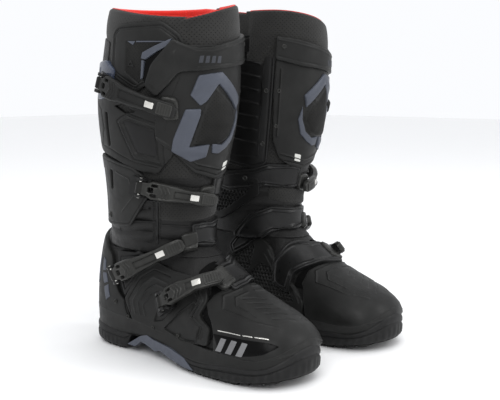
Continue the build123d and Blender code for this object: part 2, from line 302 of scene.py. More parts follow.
class Dome:
    """Chart of a rounded end of the foot, seen from a point inside it along -y (toe) or +y (heel)."""

    def __init__(self, centre, sign, scale=58.0):
        self.centre, self.sign, self.scale = np.array(centre, float), sign, scale

    def uv(self, *points):
        out = []
        for p in points:
            d = unit(np.array(p, float) - self.centre)
            angle = math.acos(np.clip(d[1] * self.sign, -1, 1))
            side = math.hypot(d[0], d[2]) or 1.0
            out.append((angle * self.scale * d[0] / side, angle * self.scale * d[2] / side))
        return out

    def __call__(self, P):
        r = np.maximum(np.hypot(P[:, 0], P[:, 1]), 1e-6)
        angle = r / self.scale
        d = np.stack([np.sin(angle) * P[:, 0] / r, self.sign * np.cos(angle), np.sin(angle)
                * P[:, 1] / r], -1)
        return form_hit(np.tile(self.centre, (len(P), 1)), d)


outer_side, inner_side = side_chart(-1), side_chart(1)
toe_dome = Dome((0, -72, 28), -1)
heel_dome = Dome((0, 92, 60), 1)


# ---- relief on a plate: each item raises or lowers the face and says where points are needed -----
def line(points, width, height, closed=False, corner=2.0):
    """A ridge (height above 0) or groove along a line."""
    path = dense(rounded(points, corner, closed), 1.6, closed)
    return {"path": path, "closed": closed, "offsets": (0, width * 0.5, width),
            "fn": lambda P: height * (1 - smooth(distance(P, path, closed) / width))}


def field(points, height, soft=1.2, corner=3.0):
    """A raised (height above 0) or sunk area with sloping edges."""
    path = dense(rounded(points, corner), 1.6, True)

    def fn(P):
        return height * smooth(distance(P, path, True) / soft) * inside(P, path)

    return {"path": path, "closed": True, "offsets": (0, soft * 0.5, soft), "fn": fn}


def bulge(points, height, reach):
    """A gently crowned area."""
    path = dense(rounded(points, 4), 3, True)

    def fn(P):
        t = np.clip(distance(P, path, True) / reach, 0, 1)
        return height * np.sqrt(1 - (1 - t) ** 2) * inside(P, path)

    return {"path": path, "closed": True, "offsets": (0, reach * 0.1, reach * 0.3), "fn": fn}


def honeycomb(points, depth, pitch=5.0):
    """Sunk hexagonal cells between raised walls, inside an outline."""
    path = dense(rounded(points, 3), 1.6, True)
    row_height = pitch * math.sqrt(3) / 2

    def fn(P):
        best = np.full(len(P), 1e9)
        row = np.round(P[:, 1] / row_height)
        for dr in (-1, 0, 1):
            r = row + dr
            off = np.where(r % 2 == 0, 0, pitch / 2)
            dx = P[:, 0] - (np.round((P[:, 0] - off) / pitch) * pitch + off)
            dy = (P[:, 1] - r * row_height) * math.sqrt(3) / 2
            best = np.minimum(best, np.maximum(np.abs(dx), np.abs(dx) / 2 + np.abs(dy)))
        cell = smooth((0.42 * pitch - best) / 0.8)
        return -depth * cell * inside(P, path) * smooth(distance(P, path, True) / 1.5)

    return {"path": path, "closed": True, "offsets": (0,), "fn": fn, "dense": 1.0}


def dots(points, height, pitch=2.6):
    """Small round pips inside an outline."""
    path = dense(rounded(points, 1), 1.6, True)

    def fn(P):
        cell = np.stack([np.round(P[:, 0] / pitch) * pitch, np.round(P[:, 1] / pitch) * pitch], -1)
        return height * smooth(1 - np.hypot(*(P - cell).T) / (0.45 * pitch)) * inside(P, path)

    return {"path": path, "closed": True, "offsets": (0,), "fn": fn, "dense": 0.9}


def panel(outline, chart, thick, lift=0.0, edge=1.0, step=None, corner=3.0, relief=(), holes=(),
    sink=0.6):
    """A moulded plate that follows a chart: returns its closed mesh."""
    step = step or FINE
    ring = dense(rounded(outline, corner), step, True)
    cuts = [dense(rounded(h, 2.0), step * 0.8, True) for h in holes]
    seeds = [ring]
    for loop in [ring] + cuts:
        tangent = unit(np.roll(loop, -1, axis=0) - np.roll(loop, 1, axis=0))
        side = np.stack([-tangent[:, 1], tangent[:, 0]], -1)
        for d in (0.3 * edge, edge, edge + 1.3):
            for sign in (1, -1):
                seeds.append(loop + side * d * sign)
    for item in relief:
        path = item["path"]
        tangent = unit(np.gradient(path, axis=0))
        side = np.stack([-tangent[:, 1], tangent[:, 0]], -1)
        for d in item["offsets"]:
            seeds += [path] if d == 0 else [path + side * d, path - side * d]
    low, high = ring.min(0), ring.max(0)
    xs = np.arange(low[0], high[0], step)
    ys = np.arange(low[1], high[1], step * 0.866)
    hexes = np.array([(x + (step / 2 if j % 2 else 0), y) for j, y in enumerate(ys)
            for x in xs]).reshape(-1, 2)
    seeds.append(hexes)
    for item in relief:
        if "dense" in item:
            pitch = item["dense"]
            a, b = item["path"].min(0), item["path"].max(0)
            gx, gy = np.meshgrid(np.arange(a[0], b[0], pitch), np.arange(a[1], b[1], pitch))
            grid = np.stack([gx.ravel(), gy.ravel()], -1)
            seeds.append(grid[inside(grid, item["path"])])
    free = np.concatenate(seeds[1:])
    keep = inside(free, ring) & (distance(free, ring, True) > 0.25 * edge)
    for cut in cuts:
        keep &= ~inside(free, cut) & (distance(free, cut, True) > 0.2 * edge)
    free = free[keep]
    cell = np.round(free / 0.55).astype(int)
    free = free[np.sort(np.unique(cell, axis=0, return_index=True)[1])]
    flat = np.concatenate([ring] + cuts + [free])
    loops, start = [], 0
    for loop in [ring] + cuts:
        loops.append([(start + i, start + (i + 1) % len(loop)) for i in range(len(loop))])
        start += len(loop)
    got = delaunay_2d_cdt([Vector(p) for p in flat], sum(loops, []), [], 0, 1e-5)
    P = np.array([tuple(p) for p in got[0]])
    tris = np.array([t for t in got[2] if len(t) == 3])
    middle = P[tris].mean(1)
    good = inside(middle, ring)
    for cut in cuts:
        good &= ~inside(middle, cut)
    tris = tris[good]
    used = np.unique(tris)
    remap = np.full(len(P), -1)
    remap[used] = np.arange(len(used))
    P, tris = P[used], remap[tris]
    rim = distance(P, ring, True)
    for cut in cuts:
        rim = np.minimum(rim, distance(P, cut, True))
    height = lift + thick - edge * (1 - np.sqrt(1 - (1 - np.clip(rim / edge, 0, 1)) ** 2))
    for item in relief:
        height = height + item["fn"](P) * smooth(rim / (0.6 * edge))
    base, normal = chart(P)
    top, under = base + normal * height[:, None], base + normal * (lift - sink)
    a, b, c = top[tris[:, 0]], top[tris[:, 1]], top[tris[:, 2]]
    facing = (np.cross(b - a, c - a) * normal[tris[:, 0]]).sum(1)
    if facing.mean() < 0:
        tris = tris[:, ::-1]
    n = len(P)
    edges = {}
    for t in tris:
        for i in range(3):
            edges[(t[i], t[(i + 1) % 3])] = True
    walls = [(int(b), int(a), int(a) + n, int(b) + n) for a, b in edges if (b, a) not in edges]
    faces = [tuple(map(int, t)) for t in tris] + [tuple(int(v) + n for v in t[::-1])
        for t in tris] + walls
    return np.concatenate([top, under]), faces


def merge(*meshes):
    verts, faces, base = [], [], 0
    for v, f in meshes:
        verts.append(np.asarray(v, float))
        faces += [tuple(i + base for i in face) for face in f]
        base += len(v)
    return np.concatenate(verts), faces


def lathe(origin, direction, profile, segments=20):
    """A turned part: profile is (radius, height) pairs from the inside up and round to the bottom."""
    d = np.array(direction, float) / np.linalg.norm(direction)
    side = unit(np.cross(d, [0.3, 0.5, 0.81]))
    other = np.cross(d, side)
    angles = np.arange(segments) * 2 * math.pi / segments
    verts = [np.array(origin) + d * h + r * (math.cos(t) * side + math.sin(t) * other) for r,
        h in profile for t in angles]
    faces = [tuple(reversed(f)) for f in grid_faces(len(profile), segments, close_columns=True)]
    last = (len(profile) - 1) * segments
    faces += [tuple(range(segments)), tuple(range(last, last + segments))[::-1]]
    return np.array(verts), faces


def bar(path, normals, width, thick):
    """A flat strip along a path of points, as a closed mesh with a softly crowned face."""
    path, normals = np.asarray(path, float), unit(np.asarray(normals, float))
    side = unit(np.cross(np.gradient(path, axis=0), normals))
    across = [(-0.5, 0), (-0.46, 0.7), (-0.3, 1), (0, 1.08), (0.3, 1), (0.46, 0.7), (0.5, 0),
        (0.46, -0.12), (-0.46, -0.12)]
    verts = [p + side[i] * a * width + normals[i] * b * thick for i, p in enumerate(path) for a,
        b in across]
    k = len(across)
    faces = grid_faces(len(path), k, close_columns=True)
    faces += [tuple(range(k))[::-1], tuple(range((len(path) - 1) * k, len(path) * k))]
    return np.array(verts), faces


def stitches(chart, points, lift, closed=False, length=2.3, gap=1.2, width=0.75, corner=2.0):
    """A row of short raised threads along a line of the chart."""
    path = dense(rounded(points, corner, closed), 0.4, closed)
    walk = np.concatenate([[0], np.cumsum(np.linalg.norm(np.diff(path, axis=0), axis=1))])
    starts = np.arange(0.5, walk[-1] - length, length + gap)
    marks = np.concatenate([starts + length * t for t in (0, 0.5, 1)])
    P = np.stack([np.interp(marks, walk, path[:, k]) for k in (0, 1)], -1)
    base, normal = chart(P)
    count, parts = len(starts), []
    for i in range(count):
        rows = [i, i + count, i + 2 * count]
        centre = base[rows] + normal[rows] * (lift + np.array([0.0, 0.28, 0.0]))[:, None]
        parts.append(bar(centre, normal[rows], width, 0.4))
    return merge(*parts)


def shell(verts, faces, thick):
    """An open surface given thickness inwards, closed at its rims."""
    verts = np.asarray(verts, float)
    normal = np.zeros_like(verts)
    for f in faces:
        a, b, c = verts[f[0]], verts[f[1]], verts[f[2]]
        face_normal = np.cross(b - a, c - a)
        for i in f:
            normal[i] += face_normal
    inner = verts - unit(normal) * thick
    n, edges = len(verts), {}
    for f in faces:
        for i in range(len(f)):
            edges[(f[i], f[(i + 1) % len(f)])] = True
    walls = [(b, a, a + n, b + n) for a, b in edges if (b, a) not in edges]
    return np.concatenate([verts, inner]), list(faces) + [tuple(i + n for i in f[::-1])
        for f in faces] + walls


def leg_angle(p):
    z = p[:, 2]
    return np.degrees(np.arctan2(-(p[:, 1] - leg_y(z)) / leg_b(z), -p[:, 0] / leg_a(z)))


def write_chart(data, verts, faces):
    """Writes the leg chart's millimetres as the mesh's UV map, for punched patterns."""
    flat = np.concatenate([np.asarray(f) for f in faces])
    first = np.repeat([f[0] for f in faces], [len(f) for f in faces])
    angle = leg_angle(verts)
    turn = (angle[flat] - angle[first] + 180) % 360 - 180 + angle[first]
    uv = np.stack([np.interp(turn, DEG, ARC), verts[flat, 2]], -1) / 100
    layer = data.uv_layers.new(name="chart")
    layer.data.foreach_set("uv", uv.ravel())


def emit(name, mesh, body, mat, replaces=(), sharp=38, blend=None):
    """Makes the piece for both boots and ties it to its body, or, when blend is given, bakes it into the
    shared frame instead.
    """
    verts, faces = mesh
    verts = np.asarray(verts, float)
    made = []
    for side, sign in (("right", 1), ("left", -1)):
        v = np.array(verts, float)
        v[:, 0] = sign * (v[:, 0] - SPACING)
        turned = faces if sign == 1 else [tuple(f[::-1]) for f in faces]
        data = bpy.data.meshes.new(f"{side}_{name}")
        data.from_pydata((v * 0.001).tolist(), [], turned)
        data.shade_smooth()
        data.set_sharp_from_angle(angle=math.radians(sharp))
        data.materials.append(mat)
        if mat.get("punched"):
            write_chart(data, verts, turned)
        ob = bpy.data.objects.new(f"{side}_{name}", data)
        bpy.context.scene.collection.objects.link(ob)
        if blend:
            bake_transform(ob)
        else:
            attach(ob, f"{side}_{body}")
        if replaces:
            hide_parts(*[f"{side}_{n}" for n in replaces])
        made.append(ob)
    return made


# ---- materials -----------------------------------------------------------------------------------
def material(name, color, rough, metal=0.0, coat=0.0, sheen=0.0, vary=0.25, fine=(900, 0.00006),
             cells=None, holes=None, weave=None, wear_and_highlight=0.25, shine=0.3):
    """A procedural surface. fine is the (scale, depth) of a noise grain, cells of a leather grain,
    holes (spacing, radius) of punched dots in mm, weave the spacing of threads; convex edges are
    lightened by the given strength, partly as wear and partly as a painted highlight, and concave creases
    get painted shade."""
    mat = bpy.data.materials.new(name)
    mat["punched"] = bool(holes)
    mat.use_nodes = True
    nodes, links = mat.node_tree.nodes, mat.node_tree.links
    shader = nodes["Principled BSDF"]
    shader.inputs["Metallic"].default_value = metal
    shader.inputs["Coat Weight"].default_value = coat
    shader.inputs["Coat Roughness"].default_value = 0.12
    shader.inputs["Specular IOR Level"].default_value = shine
    shader.inputs["Sheen Weight"].default_value = sheen
    shader.inputs["Sheen Roughness"].default_value = 0.6
    where = nodes.new("ShaderNodeTexCoord").outputs["Object"]

    def noise(scale, detail=3.0):
        node = nodes.new("ShaderNodeTexNoise")
        node.inputs["Scale"].default_value = scale
        node.inputs["Detail"].default_value = detail
        links.new(where, node.inputs["Vector"])
        return node.outputs["Fac"]

    def math_node(op, a, b):
        node = nodes.new("ShaderNodeMath")
        node.operation = op
        node.use_clamp = op == "MULTIPLY_ADD"
        for socket, value in zip(node.inputs, (a, b)):
            if isinstance(value, (int, float)):
                socket.default_value = value
            else:
                links.new(value, socket)
        return node.outputs[0]

    def remap(value, low, high, to_low, to_high):
        node = nodes.new("ShaderNodeMapRange")
        links.new(value, node.inputs["Value"])
        for socket, number in zip(("From Min", "From Max", "To Min", "To Max"),
            (low, high, to_low, to_high)):
            node.inputs[socket].default_value = number
        return node.outputs[0]

    def mix(factor, a, b):
        node = nodes.new("ShaderNodeMix")
        node.data_type = "RGBA"
        links.new(factor, node.inputs["Factor"])
        for socket, value in ((node.inputs[6], a), (node.inputs[7], b)):
            if isinstance(value, tuple):
                socket.default_value = (*value, 1)
            else:
                links.new(value, socket)
        return node.outputs[2]

    def bump(height, depth, strength, before):
        node = nodes.new("ShaderNodeBump")
        node.inputs["Distance"].default_value = depth
        node.inputs["Strength"].default_value = strength
        links.new(height, node.inputs["Height"])
        if before is not None:
            links.new(before, node.inputs["Normal"])
        return node.outputs["Normal"]

    dark = tuple(c * (1 - vary) for c in color)
    light = tuple(min(1.0, c * (1 + vary)) for c in color)
    shade = mix(remap(noise(38, 4), 0.3, 0.7, 0, 1), dark, light)
    roughness = remap(noise(130, 5), 0.3, 0.7, max(0.03, rough - 0.07), rough + 0.07)
    normal = bump(noise(fine[0], 2), fine[1], 0.6, None)
    if cells:
        grain = nodes.new("ShaderNodeTexVoronoi")
        grain.feature = "DISTANCE_TO_EDGE"
        grain.inputs["Scale"].default_value = cells[0]
        links.new(where, grain.inputs["Vector"])
        crease = remap(grain.outputs["Distance"], 0.0, 0.16, 0, 1)
        normal = bump(crease, cells[1], 0.7, normal)
        shade = mix(remap(grain.outputs["Distance"], 0.0, 0.1, 0.35, 0), shade, dark)
    if holes:
        spacing, radius = holes
        chart = nodes.new("ShaderNodeUVMap")
        chart.uv_map = "chart"
        skew = nodes.new("ShaderNodeMapping")
        skew.inputs["Rotation"].default_value[2] = math.radians(45)
        links.new(chart.outputs["UV"], skew.inputs["Vector"])
        dot = nodes.new("ShaderNodeTexVoronoi")
        dot.voronoi_dimensions = "2D"
        dot.inputs["Scale"].default_value = 100 / spacing
        dot.inputs["Randomness"].default_value = 0.12
        links.new(skew.outputs["Vector"], dot.inputs["Vector"])
        edge = radius / spacing
        open_ = remap(dot.outputs["Distance"], edge * 0.75, edge, 1, 0)
        shade = mix(open_, shade, tuple(c * 0.05 for c in color))
        normal = bump(remap(dot.outputs["Distance"], edge * 0.7, edge * 1.3, 0, 1), 0.0005, 0.8, normal)
    if weave:
        for axis in ("X", "Z"):
            wave = nodes.new("ShaderNodeTexWave")
            wave.bands_direction = axis
            wave.inputs["Scale"].default_value = 0.314 / weave
            wave.inputs["Distortion"].default_value = 0.6
            wave.inputs["Detail Scale"].default_value = 2.0
            links.new(where, wave.inputs["Vector"])
            normal = bump(wave.outputs["Fac"], 0.0003, 0.6, normal)
            shade = mix(remap(wave.outputs["Fac"], 0.1, 0.6, 0.45, 0), shade, dark)
    geometry = nodes.new("ShaderNodeNewGeometry")
    # Painted shade: concave creases (low pointiness) are darkened towards 15% of the colour, standing in for
    # the shade that falls in recesses.
    shade = mix(remap(geometry.outputs["Pointiness"], 0.40, 0.487, 0.8, 0), shade,
        tuple(c * 0.15 for c in color))
    # Convex edges (high pointiness) are lightened in a mottled pattern, partly as edge wear and partly as a
    # painted highlight where edges catch the light.
    if wear_and_highlight:
        edge_wear_highlight = remap(geometry.outputs["Pointiness"], 0.515, 0.58, 0, wear_and_highlight)
        rubbed_and_highlit = math_node("MULTIPLY", edge_wear_highlight, remap(noise(220, 4), 0.35, 0.6, 0.3, 1))
        shade = mix(rubbed_and_highlit, shade, tuple(min(1.0, c * 2.2 + 0.03) for c in color))
    links.new(shade, shader.inputs["Base Color"])
    links.new(roughness, shader.inputs["Roughness"])
    links.new(normal, shader.inputs["Normal"])
    return mat


CHARCOAL = material("charcoal_plastic", (0.0150, 0.0151, 0.0145), 0.46, fine=(1500, 0.00006), wear_and_highlight=0.25,
    shine=0.25)
DARKER = material("black_satin_plastic", (0.0075, 0.0075, 0.0075), 0.4, fine=(1300, 0.00004), wear_and_highlight=0.3)
GLOSS = material("gloss_black", (0.0015, 0.0015, 0.0016), 0.3, shine=0.12, coat=0.0,
    fine=(500, 0.00001), wear_and_highlight=0.1)
LEATHER = material("soft_leather", (0.0125, 0.0123, 0.012), 0.44, cells=(620, 0.00022),
    fine=(1400, 0.00008))
SUEDE = material("perforated_suede", (0.027, 0.0266, 0.0255), 0.9, sheen=0.15, vary=0.2,
    fine=(2600, 0.00014), holes=(3.4, 0.62), wear_and_highlight=0, shine=0.12)
FIELD = material("perforated_shield", (0.017, 0.0168, 0.016), 0.66, fine=(2000, 0.00008),
                 holes=(2.7, 0.42), wear_and_highlight=0.1, shine=0.2)
RUBBER = material("sole_rubber", (0.0095, 0.0095, 0.0095), 0.52, fine=(800, 0.0001), wear_and_highlight=0.35)
SLATE = material("slate_plastic", (0.072, 0.079, 0.098), 0.42, vary=0.08, fine=(1200, 0.00004),
    wear_and_highlight=0.12)
SLATE_DARK = material("slate_print", (0.045, 0.048, 0.056), 0.5, vary=0.08, fine=(1200, 0.00004),
    wear_and_highlight=0)
PRINT = material("grey_print", (0.17, 0.17, 0.175), 0.5, vary=0.2, fine=(1200, 0.00004), wear_and_highlight=0)
SEAT = material("slate_buckle_seat", (0.040, 0.050, 0.078), 0.2, coat=0.5, vary=0.1,
    fine=(900, 0.00002), wear_and_highlight=0.2)
BLACK_MESH = material("black_mesh", (0.0035, 0.0035, 0.0035), 0.8, fine=(1600, 0.0001), weave=0.0012,
    wear_and_highlight=0, shine=0.15)
METAL = material("dark_anodised", (0.035, 0.035, 0.033), 0.34, metal=0.4, fine=(1600, 0.00004),
    wear_and_highlight=0.4)
SILVER = material("bright_steel", (0.62, 0.61, 0.58), 0.26, metal=1.0, vary=0.1, fine=(900, 0.00003),
    wear_and_highlight=0)
REFLECT = material("reflective_tab", (0.60, 0.60, 0.57), 0.3, vary=0.08, fine=(2400, 0.00005), wear_and_highlight=0)
RED = material("red_lining", (0.72, 0.028, 0.016), 0.8, sheen=0.25, vary=0.1, weave=0.0011, wear_and_highlight=0,
    shine=0.15)
THREAD = material("thread", (0.018, 0.018, 0.018), 0.65, fine=(4000, 0.0001), wear_and_highlight=0)
FOAM = material("insole_foam", (0.03, 0.03, 0.032), 0.8, fine=(700, 0.0002), weave=0.0016, wear_and_highlight=0)
STRAP = material("strap_urethane", (0.0125, 0.0125, 0.0125), 0.32, fine=(1500, 0.00006), wear_and_highlight=0.25)
GRIP = material("grip_rubber", (0.0065, 0.0065, 0.0065), 0.54, fine=(1000, 0.0001), wear_and_highlight=0.3)
PALE = material("pale_floor", (0.93, 0.93, 0.93), 0.7, vary=0.005, fine=(60, 0.00001), wear_and_highlight=0,
    shine=0.1)

# Looks of the CAD pieces that stay in view; anything else that shows is plain charcoal.
CAD_FINISH = {
    "arch_insert": SLATE, "shank": SILVER, "insole": FOAM, "leg_buckle_bases": DARKER, "leg_pins": SILVER,
    "foot_buckle_bases": DARKER, "foot_pins": SILVER, "foot_catches": METAL, "flap_catch": METAL,
}
for node, ob in frame["nodes"].items():
    finish = CAD_FINISH.get(node.split("_", 1)[1], CHARCOAL)
    ob.data.materials.clear()
    ob.data.materials.append(finish)

# ---- sole ----------------------------------------------------------------------------------------
OUTLINE = np.array([
    (0, 156), (-30, 146), (-44, 113), (-43, 68), (-49, 8), (-57, -52), (-55, -97), (-40, -139),
    (-4, -156), (30, -146), (48, -112), (52, -72), (44, -2), (40, 58), (42, 113), (28, 147),
], float)


def closed_curve(points, count):
    """A smooth closed curve through the points, evenly sampled, with its outward directions."""
    wrap = np.concatenate([points[-4:], points, points[:5]])
    lengths = np.concatenate([[0], np.cumsum(np.linalg.norm(np.diff(wrap, axis=0), axis=1))])
    start, end = lengths[4], lengths[4 + len(points)]
    t = np.linspace(start, end, count, endpoint=False)
    at = np.stack([spline(lengths, wrap[:, k])(t) for k in (0, 1)], -1)
    tangent = unit(np.roll(at, -1, axis=0) - np.roll(at, 1, axis=0))
    out = np.stack([tangent[:, 1], -tangent[:, 0]], -1)
    if (out * (at - at.mean(0))).sum() < 0:
        out = -out
    return at, out


RIM, RIM_OUT = closed_curve(OUTLINE, 420)
rubber_top = spline([-157, -150, -140, -95, -40, 0, 40, 90, 125, 157],
    [43, 35, 27, 20, 15, 20, 22, 21, 24, 26])
band_top = spline([-157, -140, -95, -40, 0, 40, 90, 125, 157], [47, 36, 31, 31, 36, 40, 44, 46, 48])


TREAD = 2.6  # how far the sole's body stays above the tips of its blocks
BLOCK_PITCH, BLOCK = 13.0, 9.5  # from one tread block to the next, and a block's length


def tread_height(y):
    """How high the sole's underside is: toe spring, flat forefoot, arch, heel."""
    toe = np.clip((-92 - y) / 75, 0, 1) ** 1.2 * 11
    arch = 17.5 * smooth((y + 13) / 16) * (1 - smooth((y - 70) / 14))
    return toe + arch


def sole_mesh():
    rows = []
    x, y = RIM.T
    foot, top = tread_height(y) + TREAD, rubber_top(y)
    heel_ribs = 0.55 * (np.sin(np.arange(len(RIM)) * 2 * math.pi / 4.2) > 0) * smooth((y - 88) / 6)
    serration = 0.5 * (np.sin(np.arange(len(RIM)) * 2 * math.pi / 5.0) > 0) * smooth((-30 - y) / 20)
    for t, out in ((0, -2.6), (0.06, -0.7), (0.16, 0.2), (0.3, 0.6), (0.5, 0.8), (0.58, 0.8),
        (0.62, 0.0), (0.68, 0.0), (0.72, 0.9), (0.86, 1.0), (0.94, 0.6), (1.0, -0.4), (1.0, -2.2)):
        z = foot + (top - foot) * t
        extra = (heel_ribs + serration) * (0.1 < t < 0.55)
        rows.append(np.stack([x + RIM_OUT[:, 0] * (out + extra), y + RIM_OUT[:, 1] * (out + extra), z],
                -1))
    inner = RIM - RIM_OUT * 7
    rows.append(np.stack([inner[:, 0], inner[:, 1], np.minimum(top, 24)], -1))
    wall = np.array(rows)
    n, m = wall.shape[:2]
    faces = grid_faces(n, m, close_columns=True)
    return wall, faces, m


def filled(ring):
    """The flat inside of a closed ring: its points and faces."""
    k = len(ring)
    sides = [(i, (i + 1) % k) for i in range(k)]
    got = delaunay_2d_cdt([Vector(p[:2]) for p in ring], sides, [], 1, 1e-4)
    return got[0], [tuple(f) for f in got[2]]


wall, faces, m = sole_mesh()
under_points, under_faces = filled(wall[0])
heights = tread_height(np.array([p[1] for p in under_points])) + TREAD
under = (np.array([(p[0], p[1], h) for p, h in zip(under_points, heights)]), under_faces)
lid_ring = wall[-1]
lid_points, lid_faces = filled(lid_ring)
lid = (np.array([(p[0], p[1], lid_ring[min(i, m - 1)][2]) for i, p in enumerate(lid_points)]), lid_faces)


def oriented(mesh, up):
    v, f = mesh
    fixed = []
    for face in f:
        a, b, c = (v[face[k]] for k in range(3))
        good = np.cross(b - a, c - a)[2] * up > 0
        fixed.append(face if good else face[::-1])
    return v, fixed


side_wall = (wall.reshape(-1, 3), faces)
a, b, c = (side_wall[0][faces[0][k]] for k in range(3))
if np.dot(np.cross(b - a, c - a)[:2], RIM_OUT[0]) < 0:
    side_wall = (side_wall[0], [f[::-1] for f in faces])
sole = merge(side_wall, oriented(under, -1), oriented(lid, 1))


def weld(mesh, limit=0.02):
    v, f = mesh
    bm = bmesh.new()
    made = [bm.verts.new(p) for p in v]
    for face in f:
        if len(set(face)) > 2:
            try:
                bm.faces.new([made[i] for i in face])
            except ValueError:
                pass
    bmesh.ops.remove_doubles(bm, verts=bm.verts, dist=limit)
    bmesh.ops.recalc_face_normals(bm, faces=bm.faces)
    bm.verts.index_update()
    result = np.array([p.co for p in bm.verts]), [tuple(q.index for q in p.verts) for p in bm.faces]
    bm.free()
    return result


def half_width(y, sign):
    """How far the sole reaches at that place along it, on one side."""
    side = RIM[:, 0] * sign > 0
    order = np.argsort(RIM[side][:, 1])
    return np.interp(y, RIM[side][order, 1], np.abs(RIM[side][order, 0]))


def lug(y0, y1, inset, split):
    """A tread block across the sole, cut in two by a slanting groove at split."""
    parts = []
    for s0, s1 in ((-1, split), (split, 1)):
        ys = np.linspace(y0, y1, 5)
        outline = []
        for sign, s, order in ((-1, s0, ys), (1, s1, ys[::-1])):
            for y in order:
                if abs(s) == 1:
                    x = sign * (half_width(y, sign) - inset)
                else:
                    x = s * 40 + (y - y0) * 0.5 - sign * 1.6
                outline.append((x, y))
        outline = rounded(outline, 1.2)
        rings = []
        for z, shrink in ((3.4, 0), (0.5, 0.0), (0, 0.5)):
            centre = np.mean(outline, axis=0)
            rings.append([(*(p + (centre - p) / max(np.linalg.norm(centre - p), 1e-6) * shrink), z
                        + tread_height(p[1])) for p in map(np.asarray, outline)])
        k = len(outline)
        verts = np.array(rings).reshape(-1, 3)
        faces = grid_faces(3, k, close_columns=True) + [tuple(range(k)),
            tuple(range(2 * k, 3 * k))[::-1]]
        parts.append(weld((verts, faces), 0.001))
    return merge(*parts)


lugs = []
for first, last, splits in ((-138, -22, (0.1, -0.25, 0.3)), (90, 140, (0.0, -0.2))):
    for i, y in enumerate(np.arange(first, last, BLOCK_PITCH)):
        lugs.append(lug(y, y + BLOCK, 4.5, splits[i % len(splits)]))
emit("sole", merge(weld(sole), *lugs), "foot", RUBBER, ["outsole"])


def loft(sections, closed=True):
    """A closed body through a row of ring sections, joined end to end or capped."""
    v = np.array(sections)
    n, m = v.shape[:2]
    faces = grid_faces(n, m, close_rows=closed, close_columns=True)
    if not closed:
        faces += [tuple(range(m)), tuple(range((n - 1) * m, n * m))[::-1]]
    return weld((v.reshape(-1, 3), faces), 0.001)


def form_beside(points, z, grow):
    """The point of the form level with and inside each rim point, pushed out by grow."""
    origins = np.stack([points[:, 0], points[:, 1], z], -1) + np.c_[RIM_OUT * 30, np.zeros(len(points))]
    hit, normal = form_hit(origins, np.c_[-RIM_OUT, np.zeros(len(points))])
    return hit + normal * grow


def band_mesh(top_of, grow, low_out):
    """The moulded band between the rubber and the upper."""
    y = RIM[:, 1]
    low, high = rubber_top(y), top_of(y)
    foot = np.stack([*(RIM + RIM_OUT * low_out).T, low - 0.5], -1)
    top = form_beside(RIM, high, grow)
    rows = [foot - np.c_[RIM_OUT * 4, np.zeros(len(y))], foot]
    for t in (0.12, 0.25, 0.45, 0.7, 0.9):
        ease = t**0.7
        row = foot + (top - foot) * np.array([ease, ease, t])
        rows.append(row)
    rows += [top, form_beside(RIM, high + 0.5, grow - 0.8), form_beside(RIM, high, grow - 4)]
    return loft(rows)


emit("base_band", band_mesh(band_top, 4.6, -0.6), "foot", CHARCOAL)


def through_insert(outline, proud):
    """The slate insert under the arch: one outline in side view, drawn through the sole."""
    ring = dense(rounded(outline, 1.5), 1.5, True)
    points, tris = filled(ring)
    P = np.array([tuple(p) for p in points])
    left = np.stack([-(half_width(P[:, 0], -1) + proud), P[:, 0], P[:, 1]], -1)
    right = np.stack([half_width(P[:, 0], 1) + proud, P[:, 0], P[:, 1]], -1)
    k = len(ring)
    walls = [(i, (i + 1) % k, (i + 1) % k + len(P), i + len(P)) for i in range(k)]
    return weld((np.concatenate([left, right]), tris + [tuple(i + len(P) for i in f) for f in tris]
            + walls), 0.001)


emit("arch_insert_trim", through_insert([(-42, 5), (-26, 15.5), (0, 20.5), (32, 22.5), (44, 25.5),
            (56, 22), (78, 8.5), (66, 7.5), (55, 15.5), (38, 12), (30, 9.5), (20, 12.5), (0, 8.5),
            (-24, 5)], 1.5), "foot", SLATE, ["arch_insert"])

# ---- soft upper of the foot ----------------------------------------------------------------------
def cut_form(low, high, push):
    """The part of the form between two heights, moved along its normals by push(points)."""
    bm = bmesh.new()
    made = [bm.verts.new(p) for p in form_verts]
    layer = form_normals
    for t in form_tris:
        bm.faces.new([made[i] for i in t])
    moved = form_verts + layer * push(form_verts)[:, None]
    for v, p in zip(made, moved):
        v.co = p
    for z, sign in ((low, -1), (high, 1)):
        geometry = bm.verts[:] + bm.edges[:] + bm.faces[:]
        bmesh.ops.bisect_plane(bm, geom=geometry, plane_co=(0, 0, z), plane_no=(0, 0, sign),
            clear_outer=True)
    bm.verts.index_update()
    bmesh.ops.recalc_face_normals(bm, faces=bm.faces)
    result = np.array([v.co for v in bm.verts]), [tuple(v.index for v in f.verts) for f in bm.faces]
    bm.free()
    v, f = result
    a, b, c = (v[f[0][k]] for k in range(3))
    outward = np.cross(b - a, c - a) @ (a - v.mean(0))
    return result if outward > 0 else (v, [q[::-1] for q in f])


def ankle_folds(p):
    """Quilted channels on the outer side of the ankle and soft creases in front."""
    angle, z = leg_angle(p), p[:, 2]
    outer = smooth((angle + 40) / 15) * (1 - smooth((angle - 24) / 8))
    front = smooth((angle - 26) / 10) * (1 - smooth((angle - 150) / 25))
    slow = 3 * np.sin(np.radians(angle * 2.1 + 40)) + 2.2 * np.sin(np.radians(angle * 3.7))
    folds = 0
    for height, depth, width in ((136, 1.6, 4), (152, 1.8, 4), (159, 1.2, 2.5), (171, 1.2, 6),
        (186, 2.0, 3.5), (196, 1.2, 4)):
        folds = folds - depth * np.exp(-(((z - height - 0.6 * slow) / width) ** 2))
    channel = np.abs(np.sin(math.pi * (z - 145 - 0.04 * (angle + 20)) / 13.6)) ** 0.55 * 3.4 - 2.2
    puff = 1.6 * np.sin(np.pi * np.clip((z - 126) / 80, 0, 1))
    ends = smooth((z - 128) / 8) * (1 - smooth((z - 200) / 6))
    return (channel * outer * ends + (folds + 1.2) * front) + puff


